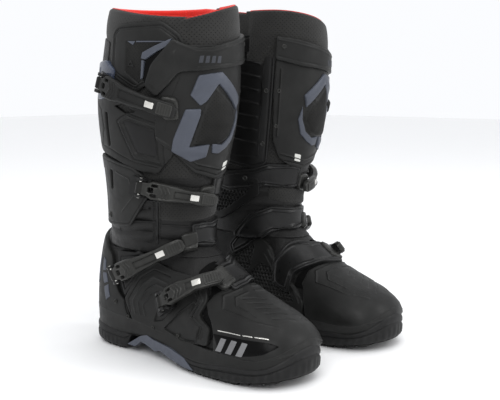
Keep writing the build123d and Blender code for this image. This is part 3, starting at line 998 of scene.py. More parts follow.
def upper_push(p):
    """Fine creases across the instep."""
    return 0.5 * np.sin(p[:, 1] / 4.2 + p[:, 0] / 17) * smooth((p[:, 2] - 84) / 12) * smooth((30
            - p[:, 1]) / 20)


upper = cut_form(25.5, 124.0, upper_push)
emit("upper", shell(*upper, 3.2), "foot", LEATHER, ["vamp"])
gaiter = cut_form(120.0, 209.0, ankle_folds)
BEND = ("foot", "leg", (0, 60, 127), (0, 60, 205))  # pieces given this are baked into the shared frame unattached; its bodies and points are not read
emit("ankle_gaiter_leather", shell(*gaiter, 3.0), None, LEATHER, ["ankle_gaiter"],
    blend=BEND)

# ---- toe cap -------------------------------------------------------------------------------------
T = toe_dome.uv
cap_outline = T((-51, -66, 30), (-50, -98, 29), (-43, -132, 31), (-24, -149, 36), (0, -153, 38),
    (24, -149, 36), (43, -132, 31), (50, -98, 29), (49, -62, 30), (47, -56, 50), (43, -48, 72),
    (34, -50, 86), (22, -57, 92), (6, -61, 94), (-8, -61, 94), (-20, -57, 92), (-33, -49, 89),
    (-42, -43, 80), (-45, -51, 68), (-50, -64, 52))
cap_relief = [
    line(T((-8, -66, 93), (-30, -60, 85), (-38, -68, 73), (-33, -108, 63), (-22, -132, 58)), 1.5, 0.8),
    line(T((-6, -74, 90), (-24, -72, 84), (-30, -80, 75), (-27, -106, 66)), 1.3, 0.7),
    line(T((8, -66, 93), (30, -60, 85), (38, -68, 73), (34, -108, 63), (22, -132, 58)), 1.5, 0.8),
    line(T((6, -74, 90), (24, -72, 84), (30, -80, 75), (27, -106, 66)), 1.3, 0.7),
]
for k in range(5):
    y = -86 - 10 * k
    cap_relief.append(line(T((-20 + k, y + 8, 84 - 5 * k), (-6, y, 85 - 5.2 * k),
                (4, y - 6, 83 - 5.2 * k)), 1.5, -0.6))
for a, b in ((0.0, 0.28), (0.34, 0.62), (0.68, 0.96)):
    near, far = np.array((24, -82, 80)), np.array((16, -134, 59))
    p, q = near + (far - near) * a, near + (far - near) * b
    cap_relief.append(dots(T(p + (11, -2, -7), q + (11, -2, -7), q + (-3, 4, 2), p + (-3, 4, 2)), 0.45))
emit("toe_cap_shell", panel(cap_outline, toe_dome, 4.0, 0.2, 1.6, corner=4, relief=cap_relief), "foot",
     CHARCOAL, ["toe_cap"])
emit("toe_gloss_triangle", panel(T((-50.5, -66, 50), (-47, -106, 49), (-37, -136, 47.5),
            (-33, -142, 45), (-43, -128, 37), (-49, -102, 32.5), (-51, -76, 32)), toe_dome, 0.7, 4.0,
        0.3, corner=1), "foot", GLOSS)
emit("toe_bright_line", merge(*[panel(T((-50 + a, y0, z0), (-50 + b, y1, z1), (-49.4 + b, y1, z1 - 1.6),
            (-49.4 + a, y0, z0 - 1.6)), toe_dome, 1.0, 4.0, 0.3, corner=0.3) for a, b, y0, y1, z0,
            z1 in ((0.6, 2.6, -72, -103, 54.6, 53.6), (3.4, 6.2, -105, -116, 53.5, 53.0),
            (7, 12, -118, -134, 52.9, 52.2))]), "foot", SILVER)
emit("toe_grey_bars", merge(*[panel(T((-50, y, 33), (-50, y - 8, 33), (-48, y - 14, 46),
            (-48.5, y - 7, 46.5)), toe_dome, 0.6, 4.7, 0.2, corner=0.6) for y in (-72, -86, -100)]),
    "foot", PRINT)

# ---- heel counter --------------------------------------------------------------------------------
H = heel_dome.uv
heel_outline = H((-48, 66, 40), (-48, 76, 62), (-47, 97, 88), (-43, 110, 118), (-30, 128, 125),
    (-12, 143, 128), (12, 143, 128), (30, 128, 125), (43, 110, 118), (46, 97, 88), (46, 76, 62),
    (46, 66, 40), (46, 100, 42), (38, 130, 43), (20, 146, 44), (0, 150, 44), (-20, 146, 44),
    (-38, 130, 43), (-47, 100, 42))
heel_relief = [line(H((-40, 128, 48), (-22, 146, 60), (-18, 147, 100), (-30, 130, 118)), 1.3, -0.7),
               line(H((40, 128, 48), (22, 146, 60), (18, 147, 100), (30, 130, 118)), 1.3, -0.7),
               field(H((-10, 150, 62), (10, 150, 62), (12, 148, 108), (-12, 148, 108)), 0.9, 1.5)]
emit("heel_counter_shell", panel(heel_outline, heel_dome, 4.2, 0.2, 1.6, corner=4, relief=heel_relief),
    "foot", CHARCOAL, ["heel_counter"])
emit("heel_slate_facets", merge(*[panel(H(*c), heel_dome, 1.1, 4.0, 0.6, corner=0.8) for c in ([(-41,
            122, 108), (-37, 128, 110), (-40, 125, 92), (-43, 118, 94)], [(-44, 116, 91),
            (-40, 124, 89), (-43, 119, 76), (-46, 110, 80)], [(-46, 109, 77), (-43, 117, 72),
            (-45, 112, 56), (-47, 104, 62)], [(-34, 133, 106), (-30, 136, 108), (-34, 134, 72),
            (-37, 130, 78)])]), "foot", SLATE)

# ---- guards on the sides of the foot -------------------------------------------------------------
outer_guard = [(64, 41), (77, 64), (60, 93), (32, 111), (6, 104), (-20, 101), (-40, 90), (-47, 77),
    (-41, 62), (-60, 52), (-58, 34), (-20, 30), (20, 34)]
chevrons = [line([(-30 - d, 93 + d * 0.2), (-43 - d * 0.7, 77), (-36 - d, 61), (-54 - d, 52),
            (-50 - d, 40)], 1.4, 1.1, corner=2) for d in (-9.5, -6, -2.5)]
hollow = [(13, 40), (-8, 58), (-31, 76), (-36, 72), (-29, 61), (-44, 51), (-40, 35), (-16, 32)]
outer_relief = chevrons + [
    field(hollow, -1.0, 1.3),
    line(hollow, 1.1, 0.9, closed=True),
    field([(30, 44), (22, 62), (2, 78), (-8, 70), (14, 48)], -1.8, 1.5),
    line([(66, 50), (70, 64), (54, 90), (34, 102), (8, 97)], 1.4, -1.1),
    line([(58, 50), (62, 64), (48, 84), (32, 94), (10, 90)], 1.6, 0.9),
    line([(50, 50), (54, 63), (42, 78), (28, 87), (12, 84)], 1.6, 0.9),
    line([(42, 50), (46, 61), (36, 72), (24, 79)], 1.6, 0.9),
]
emit("outer_guard", panel(outer_guard, outer_side, 4.4, 0.3, 1.4, corner=4, relief=outer_relief),
    "foot", CHARCOAL, ["lateral_guard"])
outer_recess = [(58, 94), (78, 66), (90, 88), (100, 116), (60, 122), (34, 112)]
emit("outer_ankle_plate", panel(outer_recess, outer_side, 3.2, 0.2, 1.2, corner=4, relief=[line([(64,
            92), (78, 74), (86, 90), (92, 110), (62, 115), (44, 110)], 1.2, -0.8, closed=True)]),
    "foot", DARKER)
emit("outer_mesh_field", panel([(-44, 62), (-50, 78), (-42, 92), (-22, 104), (-26, 116), (-56, 96),
            (-66, 70), (-66, 50), (-60, 40)], outer_side, 1.2, 0.1, 0.6, corner=2), "foot", BLACK_MESH)
inner_guard = [(66, 38), (76, 62), (72, 92), (52, 113), (24, 118), (6, 108), (-8, 90), (-20, 80),
    (-44, 62), (-58, 48), (-56, 33), (-20, 32), (30, 36)]
cells_low = [(0, 84), (-12, 74), (-36, 56), (-44, 46), (-10, 44), (26, 48), (34, 70), (18, 88)]
cells_high = [(62, 60), (66, 84), (50, 104), (28, 108), (30, 82), (44, 62)]
inner_relief = [
    field(cells_low, -0.8, 1.5),
    honeycomb(cells_low, 1.3, 5.0),
    field(cells_high, -0.8, 1.5),
    honeycomb(cells_high, 1.3, 5.0),
    line([(8, 104), (-8, 86), (-44, 58), (-54, 46)], 1.6, 0.8),
    line([(12, 99), (-4, 82), (-40, 54)], 1.2, -0.6),
]
emit("inner_guard", panel(inner_guard, inner_side, 4.2, 0.3, 1.4, corner=4, relief=inner_relief),
    "foot", CHARCOAL, ["medial_guard"])

# ---- padded collar, its edging and the lining ----------------------------------------------------
rim_height = spline([-180, -120, -60, -26, 3, 27, 51, 90, 130, 180], [399, 399, 398, 394, 387.5, 383.5,
        382, 384, 391, 399])


def wrap(angle):
    return (angle + 180) % 360 - 180


def rolled(angles, low, rim, outer, inner, roll, closed, puff):
    """A padded wall round the leg with a rounded top: rows of its section for each angle."""
    columns = []
    for a in angles:
        top = rim(a)
        heights = np.linspace(low, top - roll, 40)
        out = [leg_at(a, z, outer + puff(a, z)) for z in heights]
        arc = [leg_at(a, top - roll + roll * math.sin(t), (outer + inner) / 2 + (outer - inner) / 2
                * math.cos(t) + puff(a, top - roll) * max(0, math.cos(t))) for t in np.linspace(0.15,
                math.pi - 0.15, 12)]
        back = [leg_at(a, z, inner) for z in heights[::-1]]
        columns.append(np.array(out + arc + back))
    return loft(columns, closed)


def collar_puff(angle, z):
    """The pad swells between its seams."""
    top = rim_height(wrap(angle))
    roll = 1.7 * math.sin(math.pi * min(1, max(0, (z - top + 34) / 34))) ** 0.8 if z > top - 34 else 0
    seam = -1.2 * math.exp(-(((z - top + 35) / 2.0) ** 2))
    ribs = 0.5 * math.sin(z / 5.2) * float(smooth((abs(wrap(angle + 110)) < 50) * 1.0)) * (z < top - 40)
    return roll + seam + ribs


emit("collar_pad", rolled(np.arange(0, 360, 3), 207, lambda a: rim_height(wrap(a)), 0.4, -6.2, 4.0,
        True, collar_puff), "leg", SUEDE, ["collar"])
tongue_rim = spline([24, 40, 63, 81, 110, 135, 165], [371, 377, 383.5, 389, 396, 399.5, 399.5])


def tongue_puff(angle, z):
    """The tongue lies under the outer panel at its first edge and swells above the shin band."""
    ends = float(smooth((angle - 34) / 22) * smooth((168 - angle) / 10))
    top = tongue_rim(angle)
    swell = 2.8 * math.sin(math.pi * min(1, max(0, (z - 338) / max(10, top - 338)))) ** 0.6
    return swell * ends - 1.8 * (1 - ends)


emit("tongue_pad", rolled(np.arange(24, 168.1, 3), 318, tongue_rim, 2.2, -2.6, 3.6, False, tongue_puff),
     "leg", SUEDE)


def edging(angles, rim, grow, drop, closed):
    """A thin folded fabric edge just inside a padded rim."""
    rows = []
    for a in angles:
        top = rim(a) + 0.7
        section = [(0.9, -drop), (1.0, -0.9), (0.6, -0.2), (0, 0.1), (-0.6, -0.2), (-1.0, -0.9),
            (-1.0, -drop)]
        rows.append([leg_at(a, top + dz, grow + dg) for dg, dz in section])
    return loft(rows, closed)


emit("collar_red_edge", edging(np.arange(0, 360, 3), lambda a: rim_height(wrap(a)), -3.4, 6, True),
    "leg", RED)
emit("tongue_red_edge", edging(np.arange(26, 166.1, 3), tongue_rim, -0.6, 6, False), "leg", RED)


def inner_face(angles, rim, outer, inner, roll, low, closed):
    """Lining cloth over the inner half of a padded rim and down its inner wall to height low."""
    columns = []
    for a in angles:
        top = rim(a)
        column = []
        for extra in (0.75, -0.1):
            arc = [((outer + inner) / 2 + ((outer - inner) / 2 + extra) * math.cos(t), top - roll
                    + (roll + extra) * math.sin(t)) for t in np.linspace(1.35, math.pi, 8)]
            wall_part = [(inner - extra, z) for z in np.linspace(top - roll, low, 16)[1:]]
            column.append(arc + wall_part)
        columns.append([leg_at(a, z, g) for g, z in column[0] + column[1][::-1]])
    return loft(columns, closed)


emit("red_lining", inner_face(np.arange(0, 360, 3), lambda a: rim_height(wrap(a)), 0.4, -6.2, 4.0, 209,
        True), "leg", RED, ["lining"])
emit("tongue_lining", inner_face(np.arange(30, 163.1, 3), tongue_rim, 2.2, -2.6, 3.6, 372, False),
    "leg", RED)


# ---- leg shells ----------------------------------------------------------------------------------
L = leg_uv


def ankle_chart(P):
    """Chart like the leg's, but on the smoothed form, so that it also covers the ankle."""
    angle, z = np.interp(P[:, 0], ARC, DEG), P[:, 1]
    _, normal = leg_surface(angle, z)
    return form_hit(leg_at(angle, z, 45), -normal * [1, 1, 0])


def border(points, inset):
    """The same outline moved inwards."""
    ring = np.array(points, float)
    centre = ring.mean(0)
    out = []
    for i, p in enumerate(ring):
        a, b = unit(ring[i - 1] - p), unit(ring[(i + 1) % len(ring)] - p)
        toward = a + b
        if np.linalg.norm(toward) < 0.2:
            toward = centre - p
        toward = unit(toward)
        if not inside((p + toward * 0.5)[None], ring)[0]:
            toward = -toward
        sine = max(0.35, abs(a[0] * toward[1] - a[1] * toward[0]))
        out.append(p + toward * inset / sine)
    return out


back_outline = L((-26, 358), (-50, 364), (-90, 367), (-135, 367), (-172, 364), (-200, 360), (-200, 300),
    (-190, 232), (-150, 218), (-90, 214), (-50, 222), (-30, 236), (-24, 300))
back_relief = [line(L((a, 352), (a, 236)), 1.3, -0.9) for a in (-44, -136, -158)]
back_relief += [line(L((-64, z), (-116, z)), 2.0, -0.8) for z in (340, 346, 352)]
emit("back_leather", panel(back_outline, leg_chart, 1.5, 0.3, 0.8, 3.2, 6, back_relief), "leg", LEATHER)

spine_outline = L((-112, 330), (-104, 338), (-76, 338), (-68, 330), (-70, 240), (-66, 200), (-70, 150),
    (-78, 138), (-102, 138), (-110, 150), (-114, 200), (-110, 240))
spine_relief = [line(L((-108, z), (-90, z - 7), (-72, z)), 1.8, -1.3) for z in (322, 300, 278, 256)]
spine_relief += [field(L((-100, 232), (-80, 232), (-82, 160), (-98, 160)), -1.2, 1.6)]
spine_relief += [line(L((-98, z), (-82, z)), 1.6, 1.0) for z in (222, 212, 202, 192, 182, 172)]
emit("spine", panel(spine_outline, leg_chart, 4.2, 1.4, 1.5, None, 5, spine_relief, sink=1.4), "leg",
    CHARCOAL, ["rear_spine"])

top_outline = L((-19, 369), (-11, 376), (31, 377.5), (46, 364), (54, 345), (36, 322), (12, 302),
    (-16, 322))
top_inner = L((-1, 358), (37, 357), (24, 340), (15, 311), (1, 324))
top_relief = [field(top_inner, -1.1, 1.0, 1.5), line(border(top_outline, 4.2), 1.1, -0.7, True),
              line(border(top_outline, 7.0), 1.1, -0.5, True)]
emit("upper_outer_panel", panel(top_outline, leg_chart, 3.4, 0.4, 1.2, None, 5, top_relief), "leg",
    CHARCOAL, ["top_panel"])
emit("upper_panel_stitching", stitches(leg_chart, border(top_outline, 4.2), 3.3, True), "leg", THREAD)
emit("upper_panel_mesh", panel(border(top_inner, 1.2), leg_chart, 0.5, 2.5, 0.3, None, 1.2), "leg",
    FIELD)
emit("upper_panel_trim", merge(panel(L((1, 357.5), (9, 357), (7, 353)), leg_chart, 1.0, 2.9, 0.3,
            corner=0.3), panel(L((10, 357.3), (37, 356.6), (36.5, 355.2), (10, 355.8)), leg_chart, 0.9,
            2.9, 0.2, corner=0.3)), "leg", SLATE)
emit("upper_panel_triangle", panel(L((3, 331), (10, 329.5), (6.5, 337)), leg_chart, 0.8, 3.0, 0.2,
        corner=0.4, holes=[L((4.6, 332), (8.4, 331.2), (6.6, 335))]), "leg", THREAD)

shell_outline = L((-52, 298), (-28, 306), (-6, 299), (22, 296), (46, 300), (46, 236), (33, 214),
    (14, 217), (-19, 231), (-38, 235), (-54, 246))
window = L((-1, 270), (6, 275), (31, 264), (34, 229), (12, 235))
shell_relief = [field(window, -1.5, 1.6, 3), line(border(window, -2.2), 1.0, 0.8, True),
    line(border(window, -5.2), 1.0, -0.6, True), line(L((-50, 252), (-36, 244), (-18, 240), (12, 226),
            (32, 221)), 1.4, -0.8), line(L((-42, 292), (-30, 284), (-26, 262), (-34, 244)), 1.6, -0.8)]
emit("lower_outer_shell", panel(shell_outline, leg_chart, 3.6, 0.4, 1.3, None, 5, shell_relief, [L((-22,
            281), (-18.2, 280), (-17, 244), (-20.4, 242)), L((-8, 288), (2, 290), (13, 282),
            (4, 280))]), "leg", CHARCOAL, ["lateral_shell"])
emit("window_pad", panel(border(window, 2.6), leg_chart, 0.8, 2.0, 0.6, None, 2.5,
        [bulge(border(window, 3), 0.9, 8)]), "leg", DARKER)
emit("window_stitching", stitches(leg_chart, border(window, -5.2), 3.6, True), "leg", THREAD)

inner_outline = L((137, 366), (148, 371), (186, 371), (203, 352), (206, 244), (194, 216), (150, 208),
    (137, 214))
inner_field = L((146, 352), (190, 350), (196, 250), (186, 226), (146, 222))
emit("inner_shell", panel(inner_outline, leg_chart, 3.2, 0.4, 1.2, None, 5, [field(inner_field, -1.4,
            1.6), line(border(inner_outline, 3.6), 1.0, -0.6, True), *[line(L((150, z), (170, z + 7),
            (190, z)), 1.8, 0.8) for z in (240, 256, 272, 288, 304, 320, 336)]]), "leg", DARKER,
    ["medial_shell"])
emit("inner_shell_stitching", stitches(leg_chart, border(inner_outline, 3.6), 3.2, True), "leg", THREAD)

stirrup_outline = L((-60, 152), (-62, 220), (-38, 232), (-16, 228), (8, 221), (17, 212), (22, 190),
    (12, 170), (3, 152), (-28, 149))
stirrup_relief = [line(border(stirrup_outline, 3.2), 1.1, -0.7, True),
                  field(L((-48, 214), (-28, 220), (-27, 178), (-46, 172)), -1.0, 1.5),
                  line(L((-10, 214), (4, 208), (8, 188), (-6, 168)), 1.4, 0.8)]
emit("outer_stirrup", panel(stirrup_outline, ankle_chart, 3.0, 2.0, 1.3, None, 4, stirrup_relief,
        [L((-19.5, 216), (-15.5, 215), (-17.5, 193), (-21, 194))], sink=1.6), "leg", CHARCOAL)
inner_stirrup = L((148, 196), (178, 204), (206, 210), (226, 208), (226, 150), (205, 142), (190, 138),
    (178, 146), (166, 158), (156, 168), (147, 175))
hex_area = L((153, 190), (180, 197), (204, 198), (206, 158), (190, 148), (178, 156), (160, 175))
emit("inner_ankle_grip", panel(inner_stirrup, ankle_chart, 2.8, 1.8, 1.3, None, 4, [field(hex_area,
            -0.6, 1.4), honeycomb(hex_area, 1.2, 5.0)], sink=1.6), "leg", GRIP)
patch = L((31, 252), (46, 246), (74, 234), (102, 230), (134, 232), (136, 196), (102, 192), (75, 193),
    (33, 194))
emit("front_suede", panel(patch, leg_chart, 1.0, 0.0, 0.6, 3.0, 3,
        [line(L((33, 248), (34, 196)), 1.4, -0.8)]), "leg", SUEDE)
emit("front_suede_seam", stitches(leg_chart, L((34.5, 248), (36, 197)), 1.0), "leg", THREAD)

# ---- shin flap -----------------------------------------------------------------------------------
shin_outline = L((30, 253), (30, 298), (37, 330), (44, 352), (92, 354), (136, 362), (137, 300),
    (134, 244), (126, 222), (112, 212), (92, 207), (66, 216), (46, 238))
shield = L((77, 311), (101, 286), (106, 270), (97, 253), (84, 247), (60, 247), (67, 284))
lip = [line(L((30, 256), (46, 243.5), (68, 226), (96, 219), (124, 228)), 1.5, 1.0),
       line(L((31, 250), (46, 238), (67, 220), (93, 212), (120, 219)), 1.3, -0.7)]
shin_relief = lip + [bulge(shield, 4.0, 20), line(L((46, 326), (66, 329), (89, 333), (112, 336)), 1.4,
        -0.7), line(L((38, 262), (42, 300), (47, 318)), 1.2, -0.5), line(L((130, 250), (131, 300),
            (131, 330)), 1.6, 0.9)]
emit("shin_shield", panel(shin_outline, leg_chart, 4.2, 1.2, 1.5, None, 5, shin_relief, sink=0.2),
    "flap", CHARCOAL, ["shin_plate"])
emit("shin_centre_pad", panel(border(shield, 2.0), leg_chart, 0.5, 5.3, 0.3, None, 4,
        [bulge(border(shield, 1), 4.3, 20)], sink=3), "flap", FIELD)
band_outline = L((41, 359), (50, 353), (61, 349.5), (71, 350.5), (92, 357.5), (118, 365), (137, 369),
    (137, 341), (112, 333), (89, 329.5), (65, 325.5), (47, 324), (40, 312), (31, 298), (21.5, 310),
    (25.5, 332))
band_relief = [line(L((44, 354), (60, 345.5), (72, 346), (92, 352.5), (118, 360), (134, 364)), 1.5,
        0.7), line(L((60, 330), (89, 334), (112, 338), (134, 345)), 1.4, -0.6), field(L((44, 348),
            (46, 330), (38, 314), (31, 305), (25, 311), (31, 334)), 0.9, 2.0)]
emit("collar_band", panel(band_outline, leg_chart, 4.0, 5.6, 1.6, None, 4, band_relief, sink=1.0),
    "flap", CHARCOAL, ["top_band"])
emit("band_bars", merge(*[panel(L((a, 333.5), (a + 3.4, 333.9), (a + 4.2, 341.3), (a + 1.0, 340.9)),
            leg_chart, 0.6, 9.3, 0.2, corner=0.5) for a in (61, 66, 71, 76)]), "flap", SLATE_DARK)
emit("band_slate_edge", merge(panel(L((40, 359), (37, 357.5), (27, 351.5), (17.5, 344.5), (17, 338),
            (20.5, 337), (29.5, 345.5), (38, 351.5)), leg_chart, 3.2, 4.2, 1.0, None, 0.8),
        panel(L((17.2, 337), (19.6, 336), (19.4, 318), (17.4, 316)), leg_chart, 2.6, 4.0, 0.8, None,
            0.6)), "flap", SLATE)
emit("band_recess", panel(L((38, 351), (29, 345), (20.6, 336), (19.2, 316), (22.5, 309), (33, 320),
            (34, 345)), leg_chart, 0.9, 4.2, 0.3, None, 1.0, sink=0.1), "flap", GLOSS)
CHEVRON = L((62, 321), (83, 325), (108, 299), (105, 284), (80, 312), (70, 294), (64.5, 289), (56, 300))
CORNER = L((53, 285.5), (65.5, 286), (65.5, 279), (58.5, 245), (77, 248.5), (75, 234), (61, 229),
    (44, 240.5), (45, 254))
CRESCENT = L((79, 249), (91, 247), (101, 255), (107, 270), (108.5, 286), (112, 270), (107, 252),
    (98, 243), (88, 237), (81, 238))
emit("slate_inlays", merge(panel(CHEVRON, leg_chart, 3.0, 4.6, 1.5, None, 1.5, [line(L((60, 306),
            (81, 318), (105, 293)), 7.0, 0.9)]), panel(CORNER, leg_chart, 3.0, 4.6, 1.5, None, 1.5,
            [line(L((59, 280), (51.5, 242), (73, 240)), 7.0, 0.9)]), panel(CRESCENT, leg_chart, 2.6,
            4.6, 1.4, None, 1.2)), "flap", SLATE)
emit("shin_reflector", panel(L((101, 226), (109, 228), (108, 219), (100, 217)), leg_chart, 1.0, 5.0,
        0.3, corner=0.8), "flap", REFLECT)


def ring_rivet(chart, uv, lift, radius):
    base, normal = chart(np.array([uv]))
    r = radius
    profile = [(0.001, 0.25), (r * 0.42, 0.25), (r * 0.5, 0.9), (r * 0.75, 1.25), (r * 0.95, 0.9),
        (r, 0.2), (r, -1.2)]
    return lathe(base[0] + normal[0] * lift, normal[0], profile)


emit("leg_rivets", merge(*[ring_rivet(leg_chart, L(p)[0], h, r) for p, h, r in (((-31, 161), 5.0, 3.4),
            ((143, 358), 3.5, 2.8), ((143, 304), 3.5, 2.8), ((143, 240), 3.5, 2.8),
            ((-42, 230), 3.0, 2.6), ((158, 196), 4.6, 3.2), ((216, 156), 4.6, 3.2),
            ((-96, 148), 5.4, 3), ((-84, 148), 5.4, 3))]), "leg", METAL)
emit("flap_screws", merge(*[ring_rivet(leg_chart, L(p)[0], h, r) for p, h, r in (((130, 356), 9.4, 2.8),
            ((132, 304), 5.2, 2.6), ((132, 262), 5.2, 2.4))]), "flap", METAL)


# ---- buckles: levers follow the CAD's own pivots and thumb tips ----------------------------------
def local(points):
    p = np.array(points, float) * 1000
    p[..., 0] += SPACING
    return p


class Lever:
    """Frame of one lever: a chart of (length along it, distance across it) on its bowed middle."""

    def __init__(self, key):
        joint = next(j for j in frame["joints"] if j["name"] == f"right_{key}_buckle")
        self.pivot = local(joint["pos_m"])
        self.axis = unit(np.array(joint["axis"]))
        co = local([v.co for v in frame["nodes"][f"right_{key}_lever"].data.vertices]) - self.pivot
        flat = co - np.outer(co @ self.axis, self.axis)
        far = flat[np.argmax(np.linalg.norm(flat, axis=1))]
        reach, tip = np.linalg.norm(far), 3.4
        angle = math.asin(tip / reach)
        far = far / reach
        self.along = far * math.cos(angle) - np.cross(self.axis, far) * math.sin(angle)
        self.out = np.cross(self.axis, self.along)
        self.length = math.sqrt(reach**2 - tip**2) - 7
        middle = np.abs(co @ self.along - self.length / 2) < self.length / 4
        self.bow = max(0.5, (co[middle] @ self.out).max() - 2.4)
        self.radius = (self.length**2 / 4 + self.bow**2) / (2 * self.bow)

    def __call__(self, P):
        x = P[:, 0] - self.length / 2
        h = np.sqrt(self.radius**2 - np.clip(x, -self.radius * 0.9, self.radius
                * 0.9) ** 2) - (self.radius - self.bow)
        slope = -x / np.sqrt(self.radius**2 - x**2)
        base = self.pivot + np.outer(P[:, 0], self.along) + np.outer(h, self.out) + np.outer(P[:, 1],
            self.axis)
        return base, unit(self.out - np.outer(slope, self.along))


EYE = 7.6  # half width of a lever between the ears of its base


def lever_pieces(key, wide, half, mat):
    """One lever: an eye round its pin, a wide root with cut-outs, a channelled arm and a thumb pad."""
    lever = Lever(key)
    n = lever.length
    root, neck = min(30, n * 0.45), min(40, n * 0.6)
    side = [(-3.6, EYE - 1.2), (9.5, EYE), (12, wide - 0.8), (14, wide), (root, wide - 0.6),
        (neck, half + 0.8), (n - 22, half - 0.8), (n - 14, half), (n + 3, half - 0.2),
        (n + 7, half - 3.6)]
    outline = [(x, -y) for x, y in side] + [(x, y) for x, y in side[::-1]]
    relief = [field([(neck - 3, -half + 3.4), (n - 24, -half + 3.6), (n - 24, half - 3.6),
                (neck - 3, half - 3.4)], -1.5, 1.2, 1.5), line([(14, -wide + 2), (root, -wide + 2.2),
                (neck, -half + 1.4), (n - 22, -half + 2)], 1.2, 0.7), line([(14, wide - 2),
                (root, wide - 2.2), (neck, half - 1.4), (n - 22, half - 2)], 1.2, 0.7), *[line([(x,
                -wide + 4), (x + 4, 0), (x, wide - 4)], 1.2, 0.9)
            for x in (root - 9, root - 5, root - 1)]]
    slots = [[(9, -2.8), (15, -2.8), (15, 2.8), (9, 2.8)],
             [(12.5, wide - 3.4), (19, wide - 3.4), (19, wide - 6), (12.5, wide - 6)],
             [(12.5, -wide + 3.4), (19, -wide + 3.4), (19, -wide + 6), (12.5, -wide + 6)]]
    body = panel(outline, lever, 4.6, -1.9, 1.3, 1.8, 2.0, relief, slots, sink=0.3)
    eye = lathe(lever.pivot - lever.axis * (EYE - 1.4), lever.axis, [(1.8, 0.0), (4.0, 0.0), (4.7, 0.7),
            (4.7, 2 * EYE - 3.5), (4.0, 2 * EYE - 2.8), (1.8, 2 * EYE - 2.8)], 28)
    emit(f"{key}_lever_arm", merge(body, eye), f"{key}_lever", mat, [f"{key}_lever"])
    emit(f"{key}_lever_tab", panel([(n - 24, -3.3), (n - 14.5, -3.3), (n - 14.5, 3.3), (n - 24, 3.3)],
            lever, 1.0, 2.2, 0.25, corner=0.6, sink=1.4), f"{key}_lever", SILVER)
    pad = [(n - 11.5, -half + 1.8), (n + 3.5, -half + 2), (n + 3.5, half - 2), (n - 11.5, half - 1.8)]
    emit(f"{key}_lever_pad", panel(pad, lever, 1.6, 2.2, 0.8, 1.4, 2.4, [line([(x, -half + 3.6),
                (x, half - 3.6)], 0.9, -0.5) for x in np.arange(n - 9, n + 3, 2.6)]), f"{key}_lever",
        METAL)


for key, wide, half, mat in (("top", 12.0, 8.4, CHARCOAL), ("calf", 10.0, 7.6, METAL),
    ("ankle", 11.2, 7.8, METAL), ("instep", 10.6, 8.2, METAL)):
    lever_pieces(key, wide, half, mat)
emit("top_buckle_seat", panel(L((-36, 336), (-22, 338), (-9, 327), (-12, 296), (-33, 294)), leg_chart,
        3.6, 3.2, 1.8, None, 4, [line(L((-31, 329), (-29, 303)), 2.0, 0.8)], sink=1.5), "leg", SEAT)

# ---- straps and catch plates ---------------------------------------------------------------------
calf_outline = L((93, 212), (101, 213.5), (136, 214.5), (152, 208), (178, 204), (190, 200), (190, 181),
    (178, 178), (150, 182), (136, 186), (104, 184), (93, 184.5))
emit("calf_strap_plate", panel(calf_outline, leg_chart, 3.0, 1.3, 1.1, None, 3,
        [line(border(calf_outline, 3.2), 1.0, -0.6, True), line(border(calf_outline, 5.4), 1.0, 0.5,
            True)], sink=0.5), "leg", STRAP, ["calf_strap"])
calf_catch = L((76, 199), (95, 201), (95, 180), (76, 178))
emit("calf_catch", panel(calf_catch, leg_chart, 5.0, 1.6, 2.2, None, 6,
        [dots(border(calf_catch, 2.5), 0.5, 2.4)], sink=0.8), "leg", METAL)
ankle_outline = L((63, 157), (80, 158), (100, 157), (134, 160), (156, 150), (172, 124), (182, 104),
    (176, 92), (160, 104), (148, 118), (133, 127), (100, 127), (64, 130))
emit("ankle_strap_plate", panel(ankle_outline, ankle_chart, 3.0, 2.8, 1.2, None, 4,
        [line(border(ankle_outline, 3.2), 1.0, -0.6, True), line(border(ankle_outline, 5.6), 1.0, 0.5,
            True)], sink=1.5), "foot", STRAP, ["foot_straps"])
ankle_catch = L((50, 146), (70, 149), (72, 126), (52, 123))
emit("ankle_catch", panel(ankle_catch, ankle_chart, 4.6, 3.6, 2.2, None, 6,
        [dots(border(ankle_catch, 2.5), 0.5, 2.4)], sink=2.0), "foot", METAL,
    ["foot_catches"])
ARCH_RADIUS, ARCH_AXIS = 55.0, 50.0


def arch_uv(*points):
    return [(ARCH_RADIUS * math.atan2(p[2] - ARCH_AXIS, -p[0]), p[1]) for p in points]


def arch_chart(P):
    """Chart over the top of the foot: (length round the heel-to-toe axis, y)."""
    t = P[:, 0] / ARCH_RADIUS
    away = np.stack([-np.cos(t), 0 * t, np.sin(t)], -1)
    origin = away * 150 + np.stack([0 * t, P[:, 1], 0 * t + ARCH_AXIS], -1)
    return form_hit(origin, -away)


instep_outline = arch_uv((-20, -34, 110), (6, -31, 116), (27, -15, 116), (41, -4, 94), (47, -8, 66),
    (48, -34, 56), (44, -36, 84), (28, -54, 93), (5, -64, 96), (-20, -66, 93))
emit("instep_strap_plate", panel(instep_outline, arch_chart, 3.0, 4.4, 1.2, None, 4,
        [line(border(instep_outline, 3.2), 1.0, -0.6, True), line(border(instep_outline, 5.6), 1.0, 0.5,
            True)], sink=4.0), "foot", STRAP)
instep_catch = arch_uv((-28, -36, 105), (-8, -33, 115), (-8, -58, 99), (-28, -60, 92))
emit("instep_catch", panel(instep_catch, arch_chart, 4.4, 5.4, 2.2, None, 6,
        [dots(border(instep_catch, 2.5), 0.5, 2.4)], sink=4.0), "foot", METAL)
top_catch = L((34, 300), (47, 297), (49, 273), (36, 274.5))
emit("top_catch", panel(top_catch, leg_chart, 4.4, 5.2, 2.4, None, 6,
        [dots(border(top_catch, 2.5), 0.5, 2.4)], sink=1.0), "flap", METAL,
    ["flap_catch"])
emit("foot_rivets", merge(*[ring_rivet(outer_side, uv, 4.6, r) for uv, r in (((92, 58), 2.6),
            ((70, 44), 2.4), ((-10, 36), 2.2), ((30, 38), 2.2))]), "foot", METAL)

